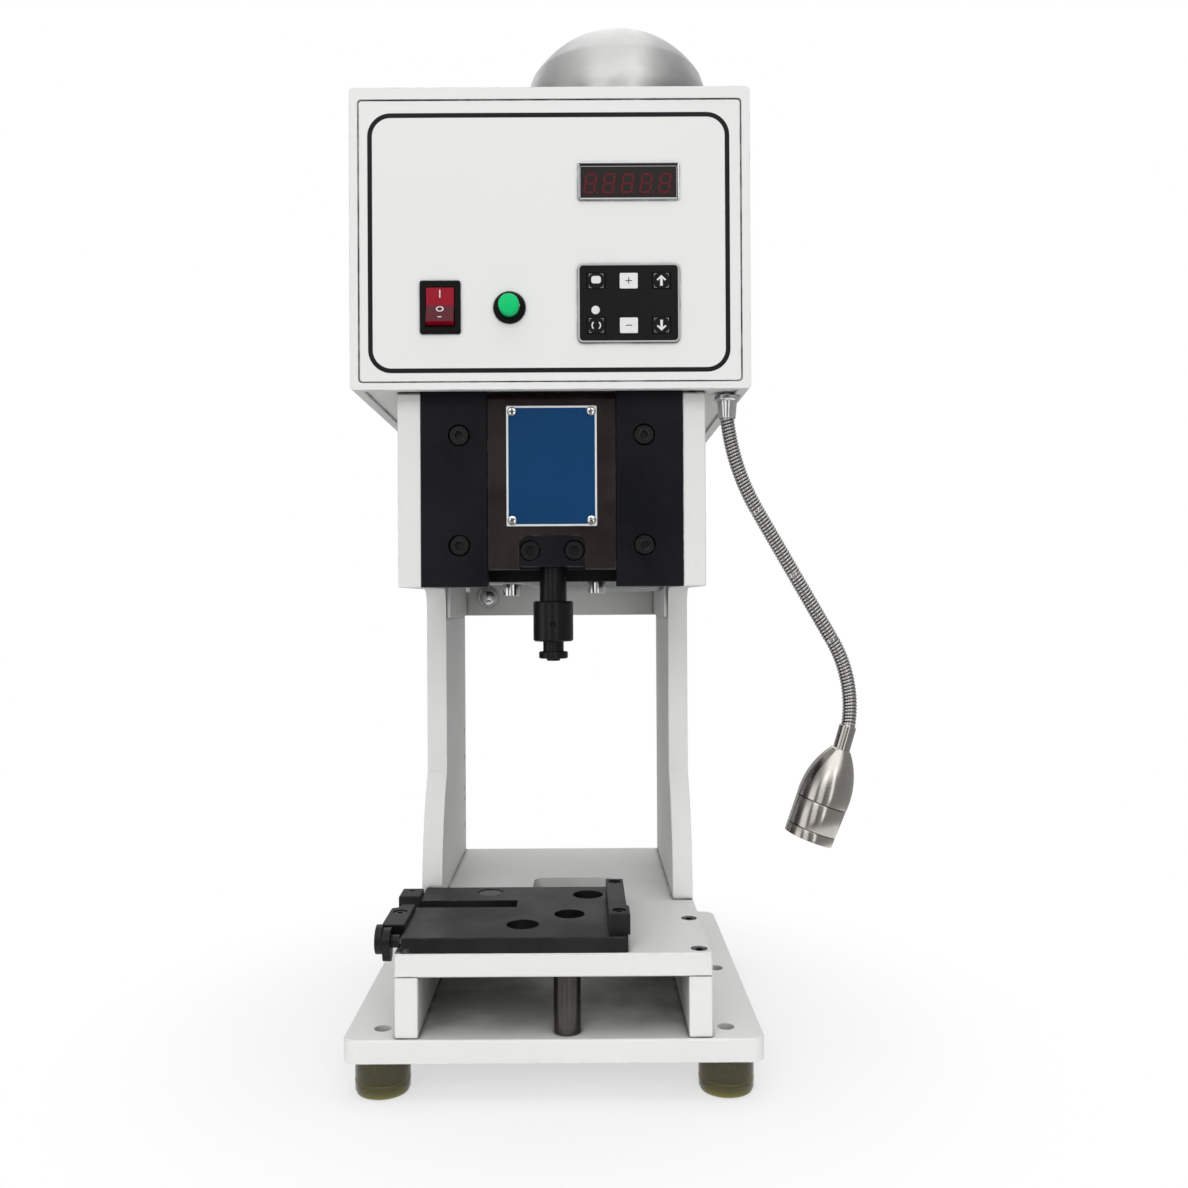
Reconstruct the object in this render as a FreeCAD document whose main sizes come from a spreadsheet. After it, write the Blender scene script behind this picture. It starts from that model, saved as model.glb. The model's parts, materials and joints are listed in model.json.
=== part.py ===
"""Bench press that crimps wire terminals: a white C-frame with a motor-driven ram.

Units are millimetres. The origin is where the ram axis meets the top face of the
applicator plate. +X is to the operator's right, +Y away from the operator, +Z up.
The ram stands at the top of its stroke.
"""
import FreeCAD
import Part
import Sketcher
import math
import os

Vector = FreeCAD.Vector

SIZES = {
    # Floor pads and base plate
    "foot_diameter": 36.0,
    "foot_height": 25.0,
    "foot_lip": 1.2,
    "foot_side": 112.0,
    "foot_setback": 20.0,
    "stud_diameter": 10.0,
    "stud_depth": 14.0,
    "nut_width": 17.0,
    "nut_height": 5.0,
    "base_width": 270.0,
    "base_depth": 280.0,
    "base_thickness": 15.0,
    "base_corner": 9.0,
    "base_reach": 45.0,
    "base_edge": 1.5,
    "base_hole": 11.0,
    "bench_side": 119.0,
    "bench_place": 87.0,
    # Rails, pillar and table that carry the frame
    "rail_height": 39.0,
    "rail_setback": 2.0,
    "pillar_diameter": 17.5,
    "pillar_side": 8.6,
    "pillar_front": 31.0,
    "table_width": 203.0,
    "table_depth": 290.0,
    "table_thickness": 15.0,
    "table_edge": 0.8,
    "chute_left": 20.0,
    "chute_right": 45.0,
    "chute_front": 86.0,
    "chute_back": 144.0,
    "chute_corner": 9.0,
    # Side plates of the C-frame
    "side_thickness": 15.0,
    "throat_height": 224.0,
    "head_height": 129.0,
    "head_reach": 20.4,
    "column_front": 111.0,
    "sweep_radius": 148.0,
    "sweep_top": 82.0,
    "throat_corner": 15.0,
    "head_corner": 2.5,
    "tie_height": 151.5,
    "tie_thickness": 15.0,
    "cheek_thickness": 3.0,
    "cheek_front": 113.0,
    "tapping_diameter": 6.0,
    "tapping_inset": 9.0,
    # Bearing plate, ram guides and ram
    "plate_bore_gap": 1.5,
    "bearing_plate_thickness": 30.0,
    "bearing_plate_lift": 4.0,
    "sleeve_radius": 38.0,
    "sleeve_length": 42.0,
    "bearing_outer": 55.0,
    "bearing_inner": 30.0,
    "bearing_width": 13.0,
    "guide_face": 1.0,
    "guide_wall": 12.9,
    "guide_edge": 0.8,
    "guide_screw_side": 61.0,
    "guide_screw_low": 27.4,
    "guide_screw_high": 100.0,
    "ram_width": 84.6,
    "ram_tail_width": 110.0,
    "ram_low": 235.7,
    "ram_height": 116.3,
    "ram_recess": 0.5,
    "ram_depth": 38.9,
    "ram_bevel": 4.4,
    "running_gap": 0.05,
    "sliding_gap": 0.1,
    "seat_gap": 0.2,
    # Crank, slider block and worm gearbox
    "stroke": 40.0,
    "crank_height": 280.0,
    "crank_disc_radius": 31.0,
    "crank_disc_thickness": 12.0,
    "crank_collar": 2.0,
    "pin_diameter": 16.0,
    "slider_width": 28.0,
    "slider_height": 24.0,
    "slider_depth": 15.0,
    "slot_lift": 4.5,
    "gearbox_plate_thickness": 12.0,
    "gearbox_plate_height": 112.0,
    "gearbox_front": 109.0,
    "gearbox_depth": 92.0,
    "gear_offset": 50.0,
    "gear_case_radius": 58.0,
    "worm_side_wall": 32.0,
    "hub_radius": 30.0,
    "hub_step": 5.0,
    "neck_radius": 31.0,
    "flange_radius": 60.0,
    "flange_thickness": 12.0,
    "flange_level": 368.0,
    # Motor and its domed cowl
    "motor_radius": 68.0,
    "motor_length": 208.0,
    "fin_height": 4.5,
    "fin_thickness": 3.0,
    "fan_radius": 62.0,
    "fan_height": 18.0,
    "fan_lift": 12.0,
    "fan_hub": 16.0,
    "shaft_diameter": 19.0,
    "cowl_radius": 79.0,
    "cowl_wall": 1.5,
    "cowl_flange": 5.0,
    "cowl_shoulder": 609.4,
    "crease_radius": 69.4,
    "crease_level": 636.5,
    "cowl_top": 674.9,
    # Control box
    "box_width": 258.5,
    "box_depth": 285.0,
    "box_height": 195.0,
    "box_reach": 37.2,
    "box_sheet": 2.0,
    "box_corner": 2.5,
    "frame_lip": 5.5,
    "top_lip": 7.7,
    "bottom_lip": 4.6,
    "panel_thickness": 3.0,
    "panel_gap": 0.8,
    "panel_land": 1.6,
    "panel_corner": 2.5,
    "floor_flange": 7.5,
    "floor_bay_half": 60.0,
    "floor_bay_back": 60.0,
    # Tee-headed drive rod under the ram
    "holder_width": 43.0,
    "holder_height": 20.1,
    "holder_low": 237.4,
    "holder_corner": 6.0,
    "holder_back": 9.6,
    "holder_screw_side": 14.6,
    "rod_diameter": 18.3,
    "collar_diameter": 27.0,
    "collar_top": 214.5,
    "collar_height": 27.1,
    "shut_height": 135.8,
    "tee_diameter": 19.6,
    "tee_thickness": 4.7,
    "tee_neck": 14.0,
    "tee_nub": 9.0,
    "tee_nub_height": 1.6,
    "tee_travel": 1.5,
    "tommy_hole": 4.6,
    # Nameless blue plate on the ram
    "blue_width": 59.5,
    "blue_height": 79.1,
    "blue_low": 263.9,
    "blue_thickness": 1.2,
    "blue_screw_inset": 3.8,
    "blue_screw": 6.0,
    # Applicator plate with its stops and clamp
    "plate_left": 97.6,
    "plate_right": 48.0,
    "plate_front": 42.0,
    "plate_depth": 120.6,
    "plate_thickness": 10.0,
    "plate_edge": 0.6,
    "slot_length": 70.0,
    "slot_front": 26.4,
    "slot_width": 17.0,
    "stop_rail_width": 12.4,
    "stop_rail_front": 35.8,
    "stop_rail_length": 87.6,
    "stop_rail_height": 13.0,
    "stop_rail_rebate": 0.5,
    "stop_block_length": 20.0,
    "stop_block_overhang": 1.6,
    "clamp_height": 4.0,
    "clamp_width": 15.0,
    "clamp_shaft_diameter": 4.4,
    "clamp_shaft_drop": 3.4,
    "clamp_shaft_front": 37.0,
    "clamp_shaft_socket": 24.0,
    "lever_thickness": 5.2,
    "lever_up": 8.5,
    "lever_down": 12.7,
    "lever_tip": 4.8,
    "hub_disc_radius": 9.2,
    "hub_disc_rise": 1.3,
    "hub_disc_thickness": 4.3,
    # Things on the front panel
    "display_side": 50.8,
    "display_level": 484.7,
    "display_width": 65.0,
    "display_height": 24.2,
    "display_frame": 1.6,
    "keypad_side": 50.6,
    "keypad_level": 406.0,
    "keypad_width": 65.4,
    "keypad_height": 50.6,
    "keypad_corner": 3.0,
    "keypad_thickness": 1.4,
    "key_pitch": 21.0,
    "key_row": 28.7,
    "key_width": 11.6,
    "key_height": 10.0,
    "key_travel": 0.5,
    "switch_side": 70.8,
    "switch_level": 404.0,
    "switch_width": 26.2,
    "switch_height": 34.3,
    "rocker_width": 17.9,
    "rocker_height": 24.6,
    "rocker_bulge": 4.0,
    "button_side": 26.2,
    "button_level": 403.7,
    "button_ring": 20.8,
    "button_cap": 13.2,
    "button_travel": 3.0,
    "button_proud": 11.0,
    # Gooseneck lamp
    "lamp_side": 117.3,
    "lamp_front": 9.0,
    "fitting_radius": 8.45,
    "fitting_low": 336.0,
    "neck_diameter": 9.6,
    "ball_gap": 0.3,
    "first_heading": 6.0,
    "first_turn": 23.7,
    "first_radius": 157.0,
    "straight_length": 100.0,
    "second_turn": 38.5,
    "second_radius": 88.5,
    "stem_heading": 16.5,
    "lamp_heading": 21.0,
    "lamp_stem_diameter": 11.2,
    "lamp_stem_drop": 0.5,
    "lamp_stem": 16.6,
    "lamp_shoulder": 6.6,
    "lamp_ogive": 37.4,
    "lamp_radius": 17.0,
    "lamp_end_radius": 16.2,
    "lamp_barrel": 18.2,
    "lamp_ring": 6.2,
    "lamp_groove": 0.8,
}

DOC = FreeCAD.newDocument("terminal_press")
SHEET = DOC.addObject("Spreadsheet::Sheet", "Sizes")
NODES = []


def fill_sheet():
    """Write each driving size into the sheet, with its name as the alias."""
    for row, (name, size) in enumerate(SIZES.items(), start=1):
        SHEET.set(f"A{row}", name)
        SHEET.set(f"B{row}", str(size))
        SHEET.setAlias(f"B{row}", name)
    DOC.recompute()


class Length:
    """A size that carries its value and the formula that the document binds."""

    def __init__(self, value, text):
        self.value = float(value)
        self.text = text

    def __add__(self, other):
        other = length(other)
        return Length(self.value + other.value, f"({self.text} + {other.text})")

    def __sub__(self, other):
        other = length(other)
        return Length(self.value - other.value, f"({self.text} - {other.text})")

    def __mul__(self, factor):
        factor = length(factor)
        return Length(self.value * factor.value, f"({self.text} * {factor.text})")

    def __truediv__(self, factor):
        factor = length(factor)
        return Length(self.value / factor.value, f"({self.text} / {factor.text})")

    def __neg__(self):
        return Length(-self.value, f"(0 - {self.text})")

    __radd__ = __add__
    __rmul__ = __mul__

    def __rsub__(self, other):
        return length(other) - self


def length(number):
    """Turn a plain number into a Length, and leave a Length as it is."""
    if isinstance(number, Length):
        return number
    return Length(number, f"({float(number)!r})")


def size(name):
    """Read one driving size from the sheet."""
    return Length(SHEET.get(name), f"Sizes.{name}")


def root(number):
    """Square root of a Length."""
    return Length(math.sqrt(number.value), f"sqrt({number.text})")


def bind(item, prop, number):
    """Bind a property of an object to the formula of a Length."""
    item.setExpression(prop, length(number).text)


# Bodies made from sketches

ROLES = {"x": "YZ_Plane", "y": "XZ_Plane", "z": "XY_Plane"}
NORMALS = {"x": 1.0, "y": -1.0, "z": 1.0}


def new_body(label):
    """Start a body that becomes one node."""
    body = DOC.addObject("PartDesign::Body", label)
    body.Label = label
    NODES.append(body)
    return body


def new_sketch(body, role, offset=(0.0, 0.0, 0.0)):
    """Attach a sketch to one of the body's own origin planes, moved by offset in the plane's axes."""
    sketch = body.newObject("Sketcher::SketchObject", body.Name + "_sketch")
    plane = [item for item in body.Origin.OriginFeatures if item.Role == role][0]
    sketch.AttachmentSupport = (plane, [""])
    sketch.MapMode = "FlatFace"
    for axis, distance in zip("xyz", offset):
        if length(distance).value or isinstance(distance, Length):
            bind(sketch, f"AttachmentOffset.Base.{axis}", distance)
    return sketch


def hold(sketch, kind, edge, point, number):
    """Hold one coordinate of a point of an edge at a bound distance from the sketch's origin."""
    number = length(number)
    row = sketch.addConstraint(Sketcher.Constraint(kind, -1, 1, edge, point, number.value))
    sketch.setExpression(f"Constraints[{row}]", number.text)


def arc_middle(start, end, radius):
    """Middle of the short arc from start to end; a positive radius bulges to the left of the way."""
    along = end - start
    left = Vector(-along.y, along.x, 0).normalize()
    half = along.Length / 2
    rise = abs(radius) - math.sqrt(max(radius * radius - half * half, 0.0))
    return start + along * 0.5 + left * math.copysign(rise, radius)


def outline(sketch, points):
    """Draw a closed outline; a third value in a point is the radius of the arc that leads to it."""
    first = sketch.GeometryCount
    count = len(points)
    places = [Vector(length(point[0]).value, length(point[1]).value, 0) for point in points]
    ends = []
    for index in range(count):
        start, end = places[index - 1], places[index]
        bend = length(points[index][2]) if len(points[index]) > 2 else None
        if bend is None:
            sketch.addGeometry(Part.LineSegment(start, end), False)
            ends.append((1, 2))
            continue
        sketch.addGeometry(Part.Arc(start, arc_middle(start, end, bend.value), end), False)
        edge = first + index
        forward = (sketch.getPoint(edge, 1) - start).Length < (sketch.getPoint(edge, 2) - start).Length
        ends.append((1, 2) if forward else (2, 1))
    for index in range(count):
        following = (index + 1) % count
        sketch.addConstraint(Sketcher.Constraint(
            "Coincident", first + index, ends[index][1], first + following, ends[following][0]))
    for index, point in enumerate(points):
        hold(sketch, "DistanceX", first + index, ends[index][1], point[0])
        hold(sketch, "DistanceY", first + index, ends[index][1], point[1])
        if len(point) > 2:
            bend = length(point[2])
            row = sketch.addConstraint(Sketcher.Constraint("Radius", first + index, abs(bend.value)))
            sketch.setExpression(f"Constraints[{row}]", f"abs({bend.text})")


def rectangle(sketch, left, low, right, high):
    """Draw a rectangle between two corners."""
    outline(sketch, [(left, low), (right, low), (right, high), (left, high)])


def rounded(sketch, left, low, right, high, corner):
    """Draw a rectangle with round corners."""
    left, low, right, high = (length(edge) for edge in (left, low, right, high))
    bend = -length(corner)
    outline(sketch, [
        (right - corner, low), (right, low + corner, bend),
        (right, high - corner), (right - corner, high, bend),
        (left + corner, high), (left, high - corner, bend),
        (left, low + corner), (left + corner, low, bend)])


def circle(sketch, across, up, radius):
    """Draw a circle."""
    centre = Vector(length(across).value, length(up).value, 0)
    edge = sketch.addGeometry(Part.Circle(centre, Vector(0, 0, 1), length(radius).value), False)
    hold(sketch, "DistanceX", edge, 3, across)
    hold(sketch, "DistanceY", edge, 3, up)
    row = sketch.addConstraint(Sketcher.Constraint("Radius", edge, length(radius).value))
    sketch.setExpression(f"Constraints[{row}]", length(radius).text)


def finish(body, feature, before, adds):
    """Recompute a feature, hide nothing, and stop when it changed the body the wrong way."""
    body.Tip = feature
    DOC.recompute()
    change = feature.Shape.Volume - before
    if (change > 0) != adds or abs(change) < 1e-6:
        raise RuntimeError(f"{body.Label}: {feature.Name} changed the volume by {change:.3f}")
    return feature


def volume_of(body):
    """Volume of a body so far."""
    return body.Shape.Volume if body.Tip and not body.Shape.isNull() else 0.0


def origin_axis(body, role):
    """One of the body's own origin axes."""
    return [item for item in body.Origin.OriginFeatures if item.Role == role][0]


def pad(body, axis, low, high, draw):
    """Pad what draw puts in a sketch, from low to high along an axis."""
    before = volume_of(body)
    start = low if NORMALS[axis] > 0 else -length(high)
    sketch = new_sketch(body, ROLES[axis], (0.0, 0.0, length(start)))
    draw(sketch)
    feature = body.newObject("PartDesign::Pad", body.Name + "_pad")
    feature.Profile = sketch
    bind(feature, "Length", length(high) - low)
    return finish(body, feature, before, True)


def pocket(body, axis, low, high, draw):
    """Cut what draw puts in a sketch out of the body, from low to high along an axis."""
    before = volume_of(body)
    start = high if NORMALS[axis] > 0 else -length(low)
    sketch = new_sketch(body, ROLES[axis], (0.0, 0.0, length(start)))
    draw(sketch)
    feature = body.newObject("PartDesign::Pocket", body.Name + "_pocket")
    feature.Profile = sketch
    bind(feature, "Length", length(high) - low)
    return finish(body, feature, before, False)


def spin(body, axis, centre, profile, cut=False):
    """Revolve a profile of (radius, along) points about an axis through centre."""
    before = volume_of(body)
    first, second = centre
    if axis == "z":
        sketch = new_sketch(body, "XZ_Plane", (length(first), 0.0, -length(second)))
        line = "V_Axis"
    elif axis == "y":
        sketch = new_sketch(body, "XY_Plane", (length(first), 0.0, length(second)))
        line = "V_Axis"
    else:
        sketch = new_sketch(body, "XZ_Plane", (0.0, length(second), -length(first)))
        line = "H_Axis"
        profile = [(point[1], point[0]) + tuple(-length(bend) for bend in point[2:]) for point in profile]
    outline(sketch, profile)
    kind = "PartDesign::Groove" if cut else "PartDesign::Revolution"
    feature = body.newObject(kind, body.Name + "_turned")
    feature.Profile = sketch
    feature.ReferenceAxis = (sketch, [line])
    feature.Angle = 360.0
    return finish(body, feature, before, not cut)


def dress(body, kind, amount, chosen):
    """Fillet or chamfer the edges for which chosen(edge) is true."""
    base = body.Tip
    names = [f"Edge{row}" for row, edge in enumerate(base.Shape.Edges, start=1) if chosen(edge)]
    if not names:
        raise RuntimeError(f"{body.Label}: no edge to dress")
    feature = body.newObject("PartDesign::" + kind, body.Name + "_" + kind.lower())
    feature.Base = (base, names)
    bind(feature, "Radius" if kind == "Fillet" else "Size", amount)
    body.Tip = feature
    DOC.recompute()
    return feature


def along(edge, axis):
    """Whether an edge is a straight line along an axis."""
    if not isinstance(edge.Curve, (Part.Line, Part.LineSegment)):
        return False
    way = edge.tangentAt(edge.FirstParameter)
    return abs(abs(getattr(way, axis)) - 1) < 1e-6


def at(edge, axis, number):
    """Whether a whole edge lies at one coordinate along an axis."""
    box = edge.BoundBox
    low, high = getattr(box, axis.upper() + "Min"), getattr(box, axis.upper() + "Max")
    place = length(number).value
    return abs(low - place) < 1e-3 and abs(high - place) < 1e-3


# Groups of like pieces made from primitives

TURNS = {
    "up": FreeCAD.Rotation(),
    "down": FreeCAD.Rotation(Vector(1, 0, 0), 180),
    "front": FreeCAD.Rotation(Vector(1, 0, 0), 90),
    "back": FreeCAD.Rotation(Vector(1, 0, 0), -90),
    "right": FreeCAD.Rotation(Vector(0, 1, 0), 90),
    "left": FreeCAD.Rotation(Vector(0, 1, 0), -90),
}
WAYS = {
    "up": (0, 0, 1), "down": (0, 0, -1), "front": (0, -1, 0),
    "back": (0, 1, 0), "right": (1, 0, 0), "left": (-1, 0, 0),
}


def primitive(kind, name, place, direction, **sizes):
    """Add a Part primitive whose own Z points in a named direction, with bound sizes and place."""
    item = DOC.addObject("Part::" + kind, name)
    item.Placement = FreeCAD.Placement(Vector(), TURNS[direction])
    for prop, number in sizes.items():
        bind(item, prop, number)
    for axis, number in zip("xyz", place):
        bind(item, f"Placement.Base.{axis}", number)
    return item


def moved(place, direction, distance):
    """A place moved by a distance in a named direction."""
    return tuple(length(number) + length(distance) * part for number, part in zip(place, WAYS[direction]))


def socket_screw(name, seat, direction, head, height, shank, reach, socket):
    """Socket-head screw: its head stands up from seat in a direction, its shank goes the other way."""
    cap = primitive("Cylinder", name + "_head", seat, direction, Radius=length(head) / 2, Height=height)
    start = moved(seat, direction, -length(reach))
    stem = primitive("Cylinder", name + "_shank", start, direction,
                     Radius=length(shank) / 2, Height=length(reach) + length(height) / 4)
    solid = DOC.addObject("Part::Fuse", name + "_solid")
    solid.Base, solid.Tool = cap, stem
    key = primitive("Prism", name + "_socket", moved(seat, direction, length(height) / 2), direction,
                    Circumradius=length(socket) / math.sqrt(3), Height=length(height))
    key.Polygon = 6
    screw = DOC.addObject("Part::Cut", name)
    screw.Base, screw.Tool = solid, key
    return screw


def group(label, items):
    """Gather separate solids in one node."""
    node = DOC.addObject("Part::Compound", label)
    node.Label = label
    node.Links = items
    NODES.append(node)
    return node


def gather(label, bodies):
    """Turn several bodies into one node."""
    for body in bodies:
        NODES.remove(body)
    return group(label, bodies)


def solid_node(label, shape):
    """Keep a shape made with Part's own functions as a node."""
    node = DOC.addObject("Part::Feature", label)
    node.Label = label
    node.Shape = shape
    NODES.append(node)
    return node


fill_sheet()

# Levels and planes that several pieces share
TABLE_TOP = -size("plate_thickness")
TABLE_LOW = TABLE_TOP - size("table_thickness")
BASE_TOP = TABLE_LOW - size("rail_height")
BASE_LOW = BASE_TOP - size("base_thickness")
FLOOR = BASE_LOW - size("foot_height")
BASE_FRONT = -size("base_reach")
BASE_BACK = BASE_FRONT + size("base_depth")
TABLE_FRONT = BASE_FRONT + size("rail_setback")
TABLE_BACK = TABLE_FRONT + size("table_depth")
FRAME_HALF = size("table_width") / 2
FRAME_INNER = FRAME_HALF - size("side_thickness")
HEAD_LOW = size("throat_height")
HEAD_TOP = HEAD_LOW + size("head_height")
HEAD_FRONT = -size("head_reach")
GUIDE_FRONT = HEAD_FRONT - size("guide_face")
GUIDE_BACK = GUIDE_FRONT + size("guide_wall")
RAM_FRONT = GUIDE_FRONT + size("ram_recess")
RAM_BACK = RAM_FRONT + size("ram_depth")
RAM_SHOULDER = GUIDE_BACK + size("sliding_gap")
RAM_TOP = size("ram_low") + size("ram_height")
PLATE_FACE = RAM_BACK + size("sliding_gap")
PLATE_BACK = PLATE_FACE + size("bearing_plate_thickness")
BEARING_PLATE_LOW = HEAD_LOW + size("bearing_plate_lift")
CRANK_LEVEL = size("crank_height")
CRANK_THROW = size("stroke") / 2
PIN_LEVEL = CRANK_LEVEL + CRANK_THROW
DISC_FRONT = PLATE_FACE + size("sliding_gap") * 8
DISC_BACK = DISC_FRONT + size("crank_disc_thickness")
FIRST_BEARING = DISC_BACK + size("crank_collar")
SLEEVE_END = PLATE_BACK + size("sleeve_length")
SECOND_BEARING = SLEEVE_END - size("bearing_width") - size("box_sheet")
GEARBOX_FRONT = size("gearbox_front")
GEARBOX_BACK = GEARBOX_FRONT + size("gearbox_depth")
MOTOR_SIDE = size("gear_offset")
MOTOR_PLACE = GEARBOX_FRONT + size("gearbox_depth") / 2
BOX_LOW = HEAD_TOP - size("box_sheet")
BOX_HIGH = BOX_LOW + size("box_height")
BOX_FRONT = -size("box_reach")
BOX_BACK = BOX_FRONT + size("box_depth")
BOX_HALF = size("box_width") / 2
FLOOR_LOW = BOX_LOW + size("box_sheet")
FLOOR_HIGH = FLOOR_LOW + size("box_sheet")
PANEL_FACE = BOX_FRONT + size("box_sheet")
PANEL_BACK = PANEL_FACE + size("panel_thickness")
OPEN_HALF = BOX_HALF - size("frame_lip")
OPEN_LOW = BOX_LOW + size("bottom_lip")
OPEN_HIGH = BOX_HIGH - size("top_lip")
PLATE_BACK_EDGE = size("plate_depth") - size("plate_front")
FOOT_PLACES = [
    (side * size("foot_side"), BASE_FRONT + size("foot_setback") if end == "front" else
     BASE_BACK - size("foot_setback"))
    for side in (-1, 1) for end in ("front", "back")]


def build_base():
    """Base plate on four soft pads, with its studs, rails, pillar and table."""
    half = size("base_width") / 2
    body = new_body("base_plate")
    pad(body, "z", BASE_LOW, BASE_TOP, lambda sketch: rounded(
        sketch, -half, BASE_FRONT, half, BASE_BACK, size("base_corner")))
    dress(body, "Fillet", size("base_edge"), lambda edge: at(edge, "z", BASE_TOP))

    def holes(sketch):
        for across, place in FOOT_PLACES:
            circle(sketch, across, place, size("base_hole") / 2)
        for side in (-1, 1):
            circle(sketch, side * size("bench_side"), size("bench_place"), size("base_hole") / 2)
    pocket(body, "z", BASE_LOW, BASE_TOP, holes)

    pads, studs = [], []
    for row, (across, place) in enumerate(FOOT_PLACES, start=1):
        puck = primitive("Cylinder", f"puck_{row}", (across, place, FLOOR), "up",
                         Radius=size("foot_diameter") / 2, Height=size("foot_height"))
        bore = primitive("Cylinder", f"puck_bore_{row}",
                         (across, place, BASE_LOW - size("stud_depth")), "up",
                         Radius=size("stud_diameter") / 2, Height=size("stud_depth"))
        recess = primitive("Cylinder", f"puck_recess_{row}",
                           (across, place, BASE_LOW - size("nut_height")), "up",
                           Radius=size("nut_width") / 2 + 2, Height=size("nut_height"))
        hollow = DOC.addObject("Part::Fuse", f"puck_hollow_{row}")
        hollow.Base, hollow.Tool = bore, recess
        pad_solid = DOC.addObject("Part::Cut", f"foot_{row}")
        pad_solid.Base, pad_solid.Tool = puck, hollow
        pads.append(pad_solid)
        rod = primitive("Cylinder", f"stud_rod_{row}",
                        (across, place, BASE_LOW - size("stud_depth")), "up",
                        Radius=size("stud_diameter") / 2,
                        Height=size("stud_depth") + size("base_thickness") * 0.6)
        nut = primitive("Prism", f"stud_nut_{row}", (across, place, BASE_LOW - size("nut_height")), "up",
                        Circumradius=size("nut_width") / math.sqrt(3), Height=size("nut_height"))
        nut.Polygon = 6
        stud = DOC.addObject("Part::Fuse", f"stud_{row}")
        stud.Base, stud.Tool = rod, nut
        studs.append(stud)
    group("feet", pads)
    group("foot_studs", studs)

    rails = []
    for name, left in (("rail_left", -FRAME_HALF), ("rail_right", FRAME_INNER)):
        rails.append(primitive("Box", name, (left, TABLE_FRONT, BASE_TOP), "up",
                               Length=size("side_thickness"), Width=BASE_BACK - TABLE_FRONT,
                               Height=size("rail_height")))
    group("lower_rails", rails)

    body = new_body("support_pillar")
    pad(body, "z", BASE_TOP, TABLE_LOW, lambda sketch: circle(
        sketch, size("pillar_side"), -size("pillar_front"), size("pillar_diameter") / 2))

    body = new_body("table_plate")
    pad(body, "z", TABLE_LOW, TABLE_TOP, lambda sketch: rectangle(
        sketch, -FRAME_HALF, TABLE_FRONT, FRAME_HALF, TABLE_BACK))
    dress(body, "Chamfer", size("table_edge"), lambda edge: at(edge, "y", TABLE_FRONT))
    pocket(body, "z", TABLE_LOW, TABLE_TOP, lambda sketch: rounded(
        sketch, -size("chute_left"), size("chute_front"), size("chute_right"), size("chute_back"),
        size("chute_corner")))
    pocket(body, "z", TABLE_TOP - TABLE_BOLT["sink"], TABLE_TOP, lambda sketch: [
        circle(sketch, across, place, TABLE_BOLT["sink_diameter"] / 2)
        for across, place in TABLE_BOLT["places"]])
    pocket(body, "z", TABLE_LOW, TABLE_TOP, lambda sketch: [
        circle(sketch, across, place, TABLE_BOLT["shank"] / 2) for across, place in TABLE_BOLT["places"]])


BOLT_SIDE = FRAME_HALF - size("side_thickness") / 2
TABLE_BOLT = {
    "places": [(side * BOLT_SIDE, TABLE_FRONT + place) for side in (-1, 1) for place in (9.0, 75.0)],
    "head": 10.0, "height": 6.0, "shank": 6.0, "socket": 5.0,
    "sink": 6.5, "sink_diameter": 11.0,
}


def side_outline(sketch):
    """Outline of a side plate, seen along X: column with a swept foot, throat and head."""
    sweep = size("sweep_radius")
    drop = size("sweep_top") - TABLE_TOP
    toe = size("column_front") - sweep + root(sweep * sweep - drop * drop)
    corner = size("throat_corner")
    bevel = size("head_corner")
    front = size("column_front")
    outline(sketch, [
        (TABLE_BACK, TABLE_TOP),
        (TABLE_BACK, HEAD_TOP),
        (HEAD_FRONT + bevel, HEAD_TOP),
        (HEAD_FRONT, HEAD_TOP - bevel, -bevel),
        (HEAD_FRONT, HEAD_LOW),
        (front - corner, HEAD_LOW),
        (front, HEAD_LOW - corner, corner),
        (front, size("sweep_top")),
        (toe, TABLE_TOP, -sweep),
    ])


def build_frame():
    """The two side plates and the plates that tie them."""
    for label, left in (("side_plate_left", -FRAME_HALF), ("side_plate_right", FRAME_INNER)):
        body = new_body(label)
        pad(body, "x", left, left + size("side_thickness"), side_outline)
    left_plate = NODES[-2]
    pocket(left_plate, "x", -FRAME_HALF, -FRAME_INNER, lambda sketch: [
        circle(sketch, TABLE_BACK - size("tapping_inset"), level, size("tapping_diameter") / 2)
        for level in TAPPING_LEVELS])

    body = new_body("rear_tie_plate")
    low = HEAD_TOP - size("tie_height")
    pad(body, "z", low, HEAD_TOP, lambda sketch: outline(sketch, [
        (-FRAME_INNER, size("cheek_front")),
        (-FRAME_INNER + size("cheek_thickness"), size("cheek_front")),
        (-FRAME_INNER + size("cheek_thickness"), TABLE_BACK - size("tie_thickness")),
        (FRAME_INNER - size("cheek_thickness"), TABLE_BACK - size("tie_thickness")),
        (FRAME_INNER - size("cheek_thickness"), size("cheek_front")),
        (FRAME_INNER, size("cheek_front")),
        (FRAME_INNER, TABLE_BACK),
        (-FRAME_INNER, TABLE_BACK)]))


TAPPING_LEVELS = (13.3, 37.5, 46.5, 74.4, 97.7)
DOME_LEVEL = HEAD_TOP - size("tie_height") + 16.5
DOME_SIDE = length(64.0)


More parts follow.
